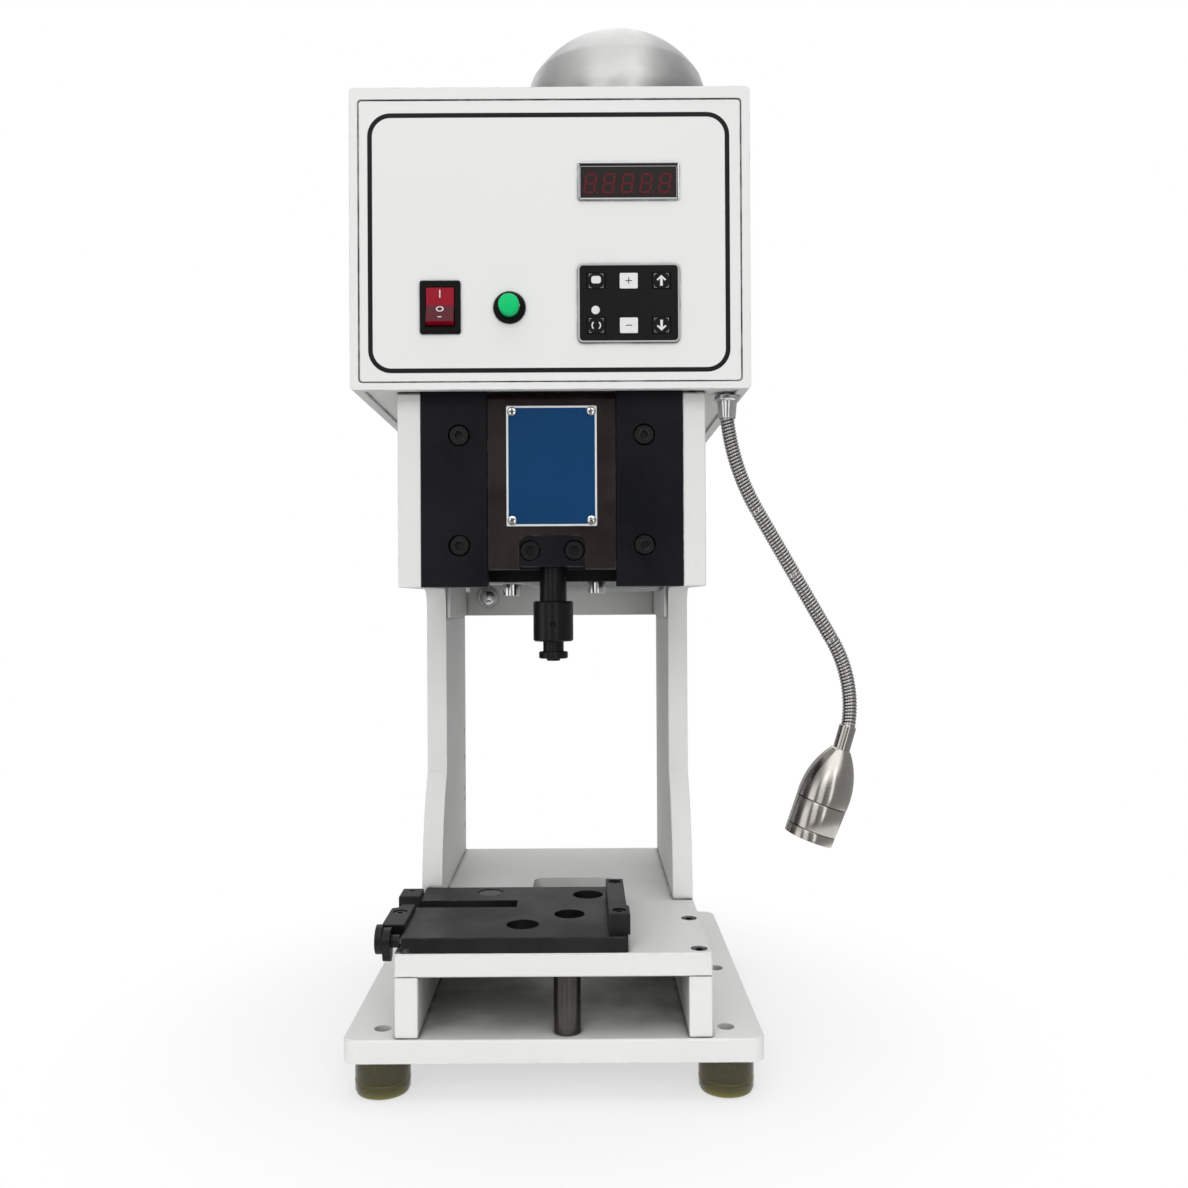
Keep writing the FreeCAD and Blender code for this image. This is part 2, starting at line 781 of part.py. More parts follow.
def build_head():
    """Bearing plate with its sleeve, gearbox plate, the guides and their screws."""
    body = new_body("bearing_plate")
    pad(body, "y", PLATE_FACE, PLATE_BACK, lambda sketch: rectangle(
        sketch, -FRAME_INNER, BEARING_PLATE_LOW, FRAME_INNER, HEAD_TOP))
    pad(body, "y", PLATE_BACK, SLEEVE_END, lambda sketch: circle(
        sketch, 0, CRANK_LEVEL, size("sleeve_radius")))
    race = size("bearing_outer") / 2
    pocket(body, "y", PLATE_FACE, SLEEVE_END, lambda sketch: circle(
        sketch, 0, CRANK_LEVEL, size("bearing_inner") / 2 + 4))
    pocket(body, "y", PLATE_FACE, FIRST_BEARING, lambda sketch: circle(
        sketch, 0, CRANK_LEVEL, size("crank_disc_radius") + size("plate_bore_gap")))
    pocket(body, "y", FIRST_BEARING, FIRST_BEARING + size("bearing_width"), lambda sketch: circle(
        sketch, 0, CRANK_LEVEL, race))
    pocket(body, "y", SECOND_BEARING, SLEEVE_END, lambda sketch: circle(sketch, 0, CRANK_LEVEL, race))
    pocket(body, "z", BEARING_PLATE_LOW, BEARING_PLATE_LOW + HEAD_BOLT["reach"] + 1, lambda sketch: [
        circle(sketch, side * HEAD_BOLT["side"], HEAD_BOLT["place"], HEAD_BOLT["shank"] / 2)
        for side in (-1, 1)])

    rings = []
    for row, place in enumerate((FIRST_BEARING, SECOND_BEARING), start=1):
        outer = primitive("Cylinder", f"race_{row}", (0, place, CRANK_LEVEL), "back",
                          Radius=race, Height=size("bearing_width"))
        inner = primitive("Cylinder", f"race_bore_{row}", (0, place, CRANK_LEVEL), "back",
                          Radius=size("bearing_inner") / 2 + size("running_gap"),
                          Height=size("bearing_width"))
        ring = DOC.addObject("Part::Cut", f"bearing_{row}")
        ring.Base, ring.Tool = outer, inner
        rings.append(ring)
    group("shaft_bearings", rings)

    body = new_body("gearbox_plate")
    face = GEARBOX_FRONT - size("gearbox_plate_thickness")
    pad(body, "y", face, GEARBOX_FRONT, lambda sketch: rectangle(
        sketch, -FRAME_INNER, BEARING_PLATE_LOW, FRAME_INNER,
        BEARING_PLATE_LOW + size("gearbox_plate_height")))
    pocket(body, "y", face, GEARBOX_FRONT, lambda sketch: circle(
        sketch, 0, CRANK_LEVEL, size("bearing_inner") / 2 + 4))

    inner = size("ram_width") / 2 + size("sliding_gap")
    block = size("ram_tail_width") / 2 + size("sliding_gap")
    outer = FRAME_INNER - size("seat_gap")
    for label, side in (("guide_block_left", -1), ("guide_block_right", 1)):
        body = new_body(label)
        pad(body, "z", HEAD_LOW, HEAD_TOP, lambda sketch: outline(sketch, [
            (side * inner, GUIDE_FRONT), (side * outer, GUIDE_FRONT), (side * outer, PLATE_FACE),
            (side * block, PLATE_FACE), (side * block, GUIDE_BACK), (side * inner, GUIDE_BACK)]))
        dress(body, "Chamfer", size("guide_edge"), lambda edge: at(edge, "y", GUIDE_FRONT))
        pocket(body, "y", GUIDE_FRONT, GUIDE_FRONT + GUIDE_SCREW["sink"], lambda sketch: [
            circle(sketch, side * across, level, GUIDE_SCREW["sink_diameter"] / 2)
            for across, level in GUIDE_SCREW["places"]])
        pocket(body, "y", GUIDE_FRONT, PLATE_FACE, lambda sketch: [
            circle(sketch, side * across, level, GUIDE_SCREW["shank"] / 2)
            for across, level in GUIDE_SCREW["places"]])


HEAD_BOLT = {"side": 30.0, "place": PLATE_FACE + 15, "head": 13.0, "height": 8.0, "shank": 8.0,
             "socket": 6.0, "reach": 12.0}
GUIDE_SCREW = {
    "places": [(size("guide_screw_side"), HEAD_LOW + size("guide_screw_low")),
               (size("guide_screw_side"), HEAD_LOW + size("guide_screw_high"))],
    "head": 13.0, "height": 8.0, "shank": 8.0, "socket": 6.0,
    "sink": 8.6, "sink_diameter": 14.5,
}


def build_ram():
    """Ram with its crank slot, drive rod holder, rod, collar and tee head."""
    body = new_body("ram")
    half = size("ram_width") / 2
    tail = size("ram_tail_width") / 2
    pad(body, "z", size("ram_low"), RAM_TOP, lambda sketch: outline(sketch, [
        (-half, RAM_FRONT), (half, RAM_FRONT), (half, RAM_SHOULDER), (tail, RAM_SHOULDER),
        (tail, RAM_BACK), (-tail, RAM_BACK), (-tail, RAM_SHOULDER), (-half, RAM_SHOULDER)]))
    dress(body, "Chamfer", size("ram_bevel"), lambda edge: at(edge, "y", RAM_FRONT) and at(edge, "z", RAM_TOP))
    slot_half = CRANK_THROW + size("slider_width") / 2 + 0.5
    rise = size("slider_height") / 2 + size("slot_lift")
    slot_front = RAM_BACK - size("slider_depth") - 1
    pocket(body, "y", slot_front, RAM_BACK, lambda sketch: rectangle(
        sketch, -slot_half, PIN_LEVEL - rise, slot_half, PIN_LEVEL + rise))
    holder = size("holder_width") / 2
    holder_top = size("holder_low") + size("holder_height")
    corner = size("holder_corner")
    gap = size("seat_gap") / 2
    back = size("holder_back")
    pocket(body, "y", RAM_FRONT, back + gap, lambda sketch: outline(sketch, [
        (-holder - gap, size("ram_low")), (holder + gap, size("ram_low")),
        (holder + gap, holder_top - corner), (holder - corner, holder_top + gap, -(corner + gap)),
        (corner - holder, holder_top + gap), (-holder - gap, holder_top - corner, -(corner + gap))]))
    pocket(body, "y", back, RAM_BACK, lambda sketch: [
        circle(sketch, side * size("holder_screw_side"), HOLDER_LEVEL, HOLDER_SCREW["shank"] / 2)
        for side in (-1, 1)])

    body = new_body("rod_holder")
    face = RAM_FRONT + gap
    pad(body, "y", face, back, lambda sketch: outline(sketch, [
        (-holder, size("holder_low")), (holder, size("holder_low")),
        (holder, holder_top - corner), (holder - corner, holder_top, -corner),
        (corner - holder, holder_top), (-holder, holder_top - corner, -corner)]))
    pocket(body, "y", face, face + HOLDER_SCREW["sink"], lambda sketch: [
        circle(sketch, side * size("holder_screw_side"), HOLDER_LEVEL, HOLDER_SCREW["sink_diameter"] / 2)
        for side in (-1, 1)])
    pocket(body, "y", face, back, lambda sketch: [
        circle(sketch, side * size("holder_screw_side"), HOLDER_LEVEL, HOLDER_SCREW["shank"] / 2)
        for side in (-1, 1)])

    rod = size("rod_diameter") / 2
    collar_low = size("collar_top") - size("collar_height")
    rod_end = collar_low + size("collar_height") * 0.35
    body = new_body("drive_rod")
    spin(body, "z", (0, 0), [
        (0, rod_end), (rod - 0.8, rod_end), (rod, rod_end + 0.8), (rod, size("holder_low")),
        (0, size("holder_low"))])

    neck = size("tee_neck") / 2
    tee_low = size("shut_height") + size("stroke")
    tee_top = tee_low + size("tee_thickness")
    running = size("running_gap")
    step = rod_end - 1
    neck_end = rod_end - size("tee_travel") * 2
    body = new_body("adjusting_collar")
    collar = size("collar_diameter") / 2
    spin(body, "z", (0, 0), [
        (neck + running, collar_low), (collar - 1, collar_low), (collar, collar_low + 1),
        (collar, size("collar_top") - 1), (collar - 1, size("collar_top")),
        (rod + running, size("collar_top")), (rod + running, step), (neck + running, step)])
    pocket(body, "y", -collar, -rod - 1.5, lambda sketch: circle(
        sketch, 0, collar_low + size("collar_height") * 0.43, size("tommy_hole") / 2))

    body = new_body("tee_head")
    tee = size("tee_diameter") / 2
    nub = size("tee_nub") / 2
    spin(body, "z", (0, 0), [
        (0, tee_low - size("tee_nub_height")), (nub, tee_low - size("tee_nub_height")), (nub, tee_low),
        (tee - 0.6, tee_low), (tee, tee_low + 0.6), (tee, tee_top - 0.6), (tee - 0.6, tee_top),
        (neck, tee_top), (neck, neck_end), (0, neck_end)])

    body = new_body("ram_blue_plate")
    blue = size("blue_width") / 2
    blue_face = RAM_FRONT - size("blue_thickness")
    pad(body, "y", blue_face, RAM_FRONT, lambda sketch: rectangle(
        sketch, -blue, size("blue_low"), blue, size("blue_low") + size("blue_height")))


HOLDER_LEVEL = size("holder_low") + size("holder_height") * 0.52
HOLDER_SCREW = {"head": 13.0, "height": 8.0, "shank": 8.0, "socket": 6.0,
                "sink": 8.2, "sink_diameter": 14.0}


def build_drive():
    """Crankshaft, slider block, worm gearbox, motor with its fan and cowl."""
    shaft = size("bearing_inner") / 2
    body = new_body("crankshaft")
    shaft_end = MOTOR_PLACE
    spin(body, "y", (0, CRANK_LEVEL), [
        (0, DISC_FRONT), (size("crank_disc_radius") - 1, DISC_FRONT),
        (size("crank_disc_radius"), DISC_FRONT + 1), (size("crank_disc_radius"), DISC_BACK),
        (shaft + 3, DISC_BACK), (shaft + 3, FIRST_BEARING - 0.1), (shaft, FIRST_BEARING - 0.1),
        (shaft, shaft_end), (0, shaft_end)])
    pin_front = RAM_BACK - size("slider_depth")
    pad(body, "y", pin_front, DISC_FRONT, lambda sketch: circle(
        sketch, 0, PIN_LEVEL, size("pin_diameter") / 2))

    body = new_body("slider_block")
    half = size("slider_width") / 2
    rise = size("slider_height") / 2
    block_back = RAM_BACK - 0.5
    block_front = block_back - size("slider_depth")
    pad(body, "y", block_front, block_back, lambda sketch: rounded(
        sketch, -half, PIN_LEVEL - rise, half, PIN_LEVEL + rise, 1.5))
    pocket(body, "y", block_front, block_back, lambda sketch: circle(
        sketch, 0, PIN_LEVEL, size("pin_diameter") / 2 + size("running_gap")))

    build_gearbox(shaft)
    build_motor()


def build_gearbox(shaft):
    """Worm gearbox: round wheel side, square worm side, hollow output hub and motor flange."""
    body = new_body("gearbox")
    case = size("gear_case_radius")
    right = size("gear_offset") + size("worm_side_wall")
    step = size("hub_step")
    front, back = GEARBOX_FRONT + step, GEARBOX_BACK - step
    pad(body, "y", front, back, lambda sketch: outline(sketch, [
        (right - 6, CRANK_LEVEL - case), (right, CRANK_LEVEL - case + 6, -6),
        (right, CRANK_LEVEL + case - 6), (right - 6, CRANK_LEVEL + case, -6), (0, CRANK_LEVEL + case),
        (-case, CRANK_LEVEL, -case), (0, CRANK_LEVEL - case, -case)]))
    dress(body, "Chamfer", 2.0, lambda edge: at(edge, "y", front) or at(edge, "y", back))
    pad(body, "y", GEARBOX_FRONT, GEARBOX_BACK, lambda sketch: circle(
        sketch, 0, CRANK_LEVEL, size("hub_radius")))
    top = CRANK_LEVEL + case
    flange_low = size("flange_level") - size("flange_thickness")
    spin(body, "z", (MOTOR_SIDE, MOTOR_PLACE), [
        (0, top - 1), (size("neck_radius"), top - 1), (size("neck_radius"), flange_low),
        (size("flange_radius"), flange_low), (size("flange_radius"), size("flange_level")),
        (0, size("flange_level"))])
    pocket(body, "y", GEARBOX_FRONT, GEARBOX_BACK, lambda sketch: circle(
        sketch, 0, CRANK_LEVEL, shaft + size("running_gap")))


def build_motor():
    """Vertical motor on the gearbox flange, its fan and the domed cowl over it."""
    low = size("flange_level")
    body_top = low + size("motor_length")
    radius = size("motor_radius")
    shaft = size("shaft_diameter") / 2
    place = (MOTOR_SIDE, MOTOR_PLACE)
    fins_low, fins_high = low + 40, body_top - 20
    body = new_body("motor")
    spin(body, "z", place, [
        (0, low), (size("flange_radius"), low), (size("flange_radius"), low + 14),
        (radius, low + 28), (radius, body_top - 8), (radius - 8, body_top), (0, body_top)])
    pad(body, "z", fins_low, fins_high, lambda sketch: rectangle(
        sketch, MOTOR_SIDE + radius - 2, MOTOR_PLACE - size("fin_thickness") / 2,
        MOTOR_SIDE + radius + size("fin_height"), MOTOR_PLACE + size("fin_thickness") / 2))
    base_volume = volume_of(body)
    fin = body.Tip
    axis_line = body.newObject("PartDesign::Line", "motor_axis")
    axis_line.AttachmentSupport = (origin_axis(body, "Z_Axis"), [""])
    axis_line.MapMode = "TwoPointLine"
    axis_line.AttachmentOffset = FreeCAD.Placement(Vector(MOTOR_SIDE.value, MOTOR_PLACE.value, 0), FreeCAD.Rotation())
    bind(axis_line, "AttachmentOffset.Base.x", MOTOR_SIDE)
    bind(axis_line, "AttachmentOffset.Base.y", MOTOR_PLACE)
    fins = body.newObject("PartDesign::PolarPattern", "motor_fins")
    fins.Originals = [fin]
    fins.Axis = (axis_line, [""])
    fins.Angle = 360.0
    fins.Occurrences = 20
    finish(body, fins, base_volume, True)
    pocket(body, "z", body_top - 30, body_top, lambda sketch: circle(
        sketch, MOTOR_SIDE, MOTOR_PLACE, shaft + size("running_gap")))

    fan = new_body("motor_fan")
    fan_low = body_top + size("fan_lift")
    fan_high = fan_low + size("fan_height")
    spin(fan, "z", place, [
        (0, body_top - 28), (shaft, body_top - 28), (shaft, fan_low), (size("fan_hub"), fan_low),
        (size("fan_hub"), fan_high), (0, fan_high)])
    pad(fan, "z", fan_low, fan_high, lambda sketch: rectangle(
        sketch, MOTOR_SIDE - size("fan_radius"), MOTOR_PLACE - 1.5,
        MOTOR_SIDE + size("fan_radius"), MOTOR_PLACE + 1.5))
    pad(fan, "z", fan_low, fan_high, lambda sketch: rectangle(
        sketch, MOTOR_SIDE - 1.5, MOTOR_PLACE - size("fan_radius"),
        MOTOR_SIDE + 1.5, MOTOR_PLACE + size("fan_radius")))

    cowl = new_body("motor_cowl")
    outer = size("cowl_radius")
    wall = size("cowl_wall")
    crease = size("crease_radius")
    rise = size("cowl_top") - size("crease_level")
    cap = (crease * crease + rise * rise) / (2 * rise)
    inner = crease - wall
    inner_rise = rise - wall * 0.4
    inner_cap = (inner * inner + inner_rise * inner_rise) / (2 * inner_rise)
    spin(cowl, "z", place, [
        (outer - size("cowl_flange"), BOX_HIGH), (outer, BOX_HIGH), (outer, size("cowl_shoulder")),
        (crease, size("crease_level")), (0, size("cowl_top"), -cap), (0, size("cowl_top") - wall),
        (inner, size("cowl_top") - wall - inner_rise, inner_cap),
        (outer - wall, size("cowl_shoulder") - wall * 0.3), (outer - wall, BOX_HIGH + wall),
        (outer - size("cowl_flange"), BOX_HIGH + wall)])


def build_box():
    """Sheet-metal control box: shell, floor, front panel, rear cover and its sockets."""
    sheet = size("box_sheet")
    body = new_body("box_shell")
    pad(body, "y", BOX_FRONT, BOX_BACK, lambda sketch: rounded(
        sketch, -BOX_HALF, BOX_LOW, BOX_HALF, BOX_HIGH, size("box_corner")))
    pocket(body, "y", PANEL_FACE, BOX_BACK - sheet, lambda sketch: rectangle(
        sketch, sheet - BOX_HALF, BOX_LOW + sheet, BOX_HALF - sheet, BOX_HIGH - sheet))
    pocket(body, "y", BOX_FRONT, PANEL_FACE, lambda sketch: rounded(
        sketch, -OPEN_HALF, OPEN_LOW, OPEN_HALF, OPEN_HIGH, size("panel_corner")))
    pocket(body, "y", BOX_BACK - sheet, BOX_BACK, lambda sketch: rectangle(
        sketch, -OPEN_HALF, OPEN_LOW, OPEN_HALF, OPEN_HIGH))
    inner = BOX_HALF - size("floor_flange")
    pocket(body, "z", BOX_LOW, BOX_LOW + sheet, lambda sketch: rectangle(
        sketch, -inner, PANEL_FACE + size("floor_flange") / 2, inner, BOX_BACK))
    pocket(body, "z", BOX_HIGH - sheet, BOX_HIGH, lambda sketch: circle(
        sketch, MOTOR_SIDE, MOTOR_PLACE, size("cowl_radius") - size("cowl_flange")))

    body = new_body("box_floor")
    edge = BOX_HALF - sheet - size("seat_gap")
    pad(body, "z", FLOOR_LOW, FLOOR_HIGH, lambda sketch: rectangle(
        sketch, -edge, PANEL_BACK + size("seat_gap"), edge, BOX_BACK - sheet - size("seat_gap")))
    pocket(body, "z", FLOOR_LOW, FLOOR_HIGH, lambda sketch: [
        rectangle(sketch, -size("floor_bay_half"), -size("head_reach"), size("floor_bay_half"),
                  size("floor_bay_back")),
        circle(sketch, MOTOR_SIDE, MOTOR_PLACE, size("flange_radius") + 2),
        circle(sketch, size("lamp_side"), -size("lamp_front"), FITTING_STEM + size("seat_gap") / 2)])

    body = new_body("front_panel")
    gap = size("panel_gap")
    land = BOX_FRONT + size("box_sheet") - size("panel_land")
    pad(body, "y", PANEL_FACE, PANEL_BACK, lambda sketch: rectangle(
        sketch, size("seat_gap") - BOX_HALF + sheet, FLOOR_LOW + size("seat_gap"),
        BOX_HALF - sheet - size("seat_gap"), BOX_HIGH - sheet - size("seat_gap")))
    pad(body, "y", land, PANEL_FACE, lambda sketch: rounded(
        sketch, gap - OPEN_HALF, OPEN_LOW + gap, OPEN_HALF - gap, OPEN_HIGH - gap,
        size("panel_corner") - gap / 2))

    def openings(sketch):
        display = (size("display_width") / 2 - 1.5, size("display_height") / 2 - 1.5)
        rectangle(sketch, size("display_side") - display[0], size("display_level") - display[1],
                  size("display_side") + display[0], size("display_level") + display[1])
        switch = (SWITCH_BODY_HALF, SWITCH_BODY_RISE)
        rectangle(sketch, -size("switch_side") - switch[0], size("switch_level") - switch[1],
                  switch[0] - size("switch_side"), size("switch_level") + switch[1])
        circle(sketch, -size("button_side"), size("button_level"), BUTTON_BARREL)
    pocket(body, "y", land, PANEL_BACK, openings)

    body = new_body("rear_cover")
    pad(body, "y", BOX_BACK, BOX_BACK + sheet, lambda sketch: rounded(
        sketch, sheet - BOX_HALF, BOX_LOW + sheet, BOX_HALF - sheet, BOX_HIGH - sheet, 3.0))
    vents = pocket(body, "y", BOX_BACK, BOX_BACK + sheet, lambda sketch: [
        rounded(sketch, column * VENT_SIDE - VENT_LENGTH / 2, BOX_HIGH - VENT_DROP - VENT_HEIGHT,
                column * VENT_SIDE + VENT_LENGTH / 2, BOX_HIGH - VENT_DROP, VENT_HEIGHT / 2 - 0.01)
        for column in (-1, 1)])
    before = volume_of(body)
    rows = body.newObject("PartDesign::LinearPattern", "vent_rows")
    rows.Originals = [vents]
    rows.Direction = (origin_axis(body, "Z_Axis"), [""])
    rows.Reversed = True
    rows.Length = VENT_STEP * (VENT_ROWS - 1)
    rows.Occurrences = VENT_ROWS
    finish(body, rows, before, False)
    inlet_half, inlet_rise = INLET_SIZE[0] / 2, INLET_SIZE[1] / 2
    pocket(body, "y", BOX_BACK, BOX_BACK + sheet, lambda sketch: [
        rectangle(sketch, -INLET_SIDE - inlet_half, SOCKET_LEVEL - inlet_rise,
                  inlet_half - INLET_SIDE, SOCKET_LEVEL + inlet_rise),
        circle(sketch, -PEDAL_SIDE, SOCKET_LEVEL, PEDAL_RADIUS)])
    build_rear_sockets()


VENT_SIDE = length(60.0)
VENT_LENGTH = 70.0
VENT_HEIGHT = 4.0
VENT_STEP = 10.0
VENT_DROP = 41.0
VENT_ROWS = 6
INLET_SIDE = length(85.0)
INLET_SIZE = (27.0, 20.0)
PEDAL_SIDE = length(35.0)
PEDAL_RADIUS = 8.0
SOCKET_LEVEL = size("throat_height") + size("head_height") + 35.0
SWITCH_BODY_HALF = size("switch_width") / 2 - 2.0
SWITCH_BODY_RISE = size("switch_height") / 2 - 3.0
BUTTON_BARREL = size("button_ring") / 2 - 2.4
FITTING_STEM = size("floor_flange") / 2 + 0.25


def build_rear_sockets():
    """Mains inlet with three blades and a round pedal socket, on the rear cover."""
    outside = BOX_BACK + size("box_sheet")
    half, rise = INLET_SIZE[0] / 2 + 3.0, INLET_SIZE[1] / 2 + 3.0
    flange = primitive("Box", "inlet_flange", (-INLET_SIDE - half, outside, SOCKET_LEVEL - rise), "up",
                       Length=length(half * 2), Width=2.5, Height=length(rise * 2))
    shell = primitive("Box", "inlet_shell",
                      (-INLET_SIDE - INLET_SIZE[0] / 2, BOX_BACK - 16.0, SOCKET_LEVEL - INLET_SIZE[1] / 2), "up",
                      Length=INLET_SIZE[0], Width=18.0 + size("box_sheet"), Height=INLET_SIZE[1])
    whole = DOC.addObject("Part::Fuse", "inlet_whole")
    whole.Base, whole.Tool = flange, shell
    well = primitive("Box", "inlet_well",
                     (-INLET_SIDE - INLET_SIZE[0] / 2 + 1.5, BOX_BACK - 13.0,
                      SOCKET_LEVEL - INLET_SIZE[1] / 2 + 1.5), "up",
                     Length=INLET_SIZE[0] - 3.0, Width=30.0, Height=INLET_SIZE[1] - 3.0)
    inlet = DOC.addObject("Part::Cut", "mains_inlet")
    inlet.Base, inlet.Tool = whole, well
    ring = primitive("Cylinder", "pedal_ring", (-PEDAL_SIDE, outside, SOCKET_LEVEL), "back",
                     Radius=PEDAL_RADIUS + 2.0, Height=3.0)
    barrel = primitive("Cylinder", "pedal_barrel", (-PEDAL_SIDE, BOX_BACK - 12.0, SOCKET_LEVEL), "back",
                       Radius=PEDAL_RADIUS, Height=22.0)
    socket = DOC.addObject("Part::Fuse", "pedal_whole")
    socket.Base, socket.Tool = ring, barrel
    bore = primitive("Cylinder", "pedal_bore", (-PEDAL_SIDE, BOX_BACK - 4.0, SOCKET_LEVEL), "back",
                     Radius=PEDAL_RADIUS - 2.0, Height=20.0)
    pedal = DOC.addObject("Part::Cut", "pedal_socket")
    pedal.Base, pedal.Tool = socket, bore
    group("rear_sockets", [inlet, pedal])


def build_controls():
    """Display, keypad with six keys, rocker switch and start button."""
    land = PANEL_FACE - size("panel_land")
    across, level = size("display_side"), size("display_level")
    half, rise = size("display_width") / 2, size("display_height") / 2
    frame = size("display_frame")
    body = new_body("display_bezel")
    pad(body, "y", land - 1.2, land, lambda sketch: rounded(
        sketch, across - half, level - rise, across + half, level + rise, 1.2))
    pad(body, "y", land, PANEL_BACK + 8, lambda sketch: rectangle(
        sketch, across - half + 1.6, level - rise + 1.6, across + half - 1.6, level + rise - 1.6))
    pocket(body, "y", land - 1.2, PANEL_BACK + 6, lambda sketch: rectangle(
        sketch, across - half + frame + 1, level - rise + frame + 1,
        across + half - frame - 1, level + rise - frame - 1))
    body = new_body("display_window")
    pad(body, "y", land - 0.4, PANEL_BACK + 6, lambda sketch: rectangle(
        sketch, across - half + frame + 1.1, level - rise + frame + 1.1,
        across + half - frame - 1.1, level + rise - frame - 1.1))

    build_keypad(land)
    build_switch(land)
    build_button(land)


def build_keypad(land):
    """Keypad plate with six windows and the six keys that give in them."""
    across, level = size("keypad_side"), size("keypad_level")
    half, rise = size("keypad_width") / 2, size("keypad_height") / 2
    body = new_body("keypad_plate")
    face = land - size("keypad_thickness")
    wide, high = size("key_width") / 2, size("key_height") / 2
    key_gap = 0.3
    pad(body, "y", face, land, lambda sketch: rounded(
        sketch, across - half, level - rise, across + half, level + rise, size("keypad_corner")))
    pocket(body, "y", face, land - 0.3, lambda sketch: [
        rectangle(sketch, centre - wide - key_gap, height - high - key_gap,
                  centre + wide + key_gap, height + high + key_gap)
        for name, centre, height in KEYS])
    for name, centre, height in KEYS:
        body = new_body(name)
        pad(body, "y", face - 0.2, land - 0.3 - size("key_travel") - 0.05, lambda sketch: rounded(
            sketch, centre - wide, height - high, centre + wide, height + high, 0.8))


KEYS = [
    (name, size("keypad_side") + column * size("key_pitch"), size("keypad_level") + row * size("key_row") / 2)
    for name, column, row in (("key_mode", -1, 1), ("key_plus", 0, 1), ("key_up", 1, 1),
                              ("key_reset", -1, -1), ("key_minus", 0, -1), ("key_down", 1, -1))]


def build_switch(land):
    """Rocker switch: bezel with a well, and the rocker on its pivot."""
    across, level = -size("switch_side"), size("switch_level")
    half, rise = size("switch_width") / 2, size("switch_height") / 2
    wide, high = size("rocker_width") / 2, size("rocker_height") / 2
    well = 0.5
    body = new_body("switch_bezel")
    pad(body, "y", land - 2.0, land, lambda sketch: rounded(
        sketch, across - half, level - rise, across + half, level + rise, 1.5))
    pad(body, "y", land, PANEL_BACK + 14, lambda sketch: rectangle(
        sketch, across - SWITCH_BODY_HALF + 0.1, level - SWITCH_BODY_RISE + 0.1,
        across + SWITCH_BODY_HALF - 0.1, level + SWITCH_BODY_RISE - 0.1))
    dress(body, "Chamfer", 0.7, lambda edge: at(edge, "y", land - 2.0))
    pocket(body, "y", land - 2.0, PANEL_BACK + 10, lambda sketch: rectangle(
        sketch, across - wide - well, level - high - well, across + wide + well, level + high + well))
    pivot = land + 4.0
    spin(body, "x", (pivot, level), [
        (0, across - wide - well - 0.2), (1.5, across - wide - well - 0.2),
        (1.5, across + wide + well + 0.2), (0, across + wide + well + 0.2)])

    body = new_body("switch_rocker")
    bulge = size("rocker_bulge")
    shape = [(4.0, -high * 0.5), (4.0, high * 0.5), (-2.0, high - 0.2), (-6.5 - bulge * 0.35, high - 1.0),
             (-6.0, 0.0), (-6.5 - bulge * 0.35, 1.0 - high), (-2.0, 0.2 - high)]
    pad(body, "x", across - wide, across + wide, lambda sketch: outline(sketch, [
        (pivot + outward * TIP_COS - upward * TIP_SIN, level + outward * TIP_SIN + upward * TIP_COS)
        for outward, upward in shape]))
    pocket(body, "x", across - wide, across + wide, lambda sketch: circle(
        sketch, pivot, level, 1.5 + size("running_gap")))


TIP = math.radians(-8.0)
TIP_COS = math.cos(TIP)
TIP_SIN = math.sin(TIP)


def build_button(land):
    """Start button: threaded barrel with a round bezel, and the cap that slides in it."""
    across, level = -size("button_side"), size("button_level")
    ring = size("button_ring") / 2
    cap = size("button_cap") / 2
    proud = size("button_proud")
    body = new_body("button_bezel")
    floor = PANEL_BACK + 10
    spin(body, "y", (across, level), [
        (cap + 0.1, land - 2.2), (ring - 1.2, land - 2.2), (ring, land - 1.0), (ring, land),
        (BUTTON_BARREL - 0.1, land), (BUTTON_BARREL - 0.1, floor), (0, floor), (0, floor - 1.5),
        (cap + 0.1, floor - 1.5)])
    body = new_body("button_cap")
    face = land - proud
    spin(body, "y", (across, level), [
        (0, face), (cap - 1.4, face + 0.2), (cap, face + 1.6), (cap, floor - 1.6 - size("button_travel")),
        (0, floor - 1.6 - size("button_travel"))])


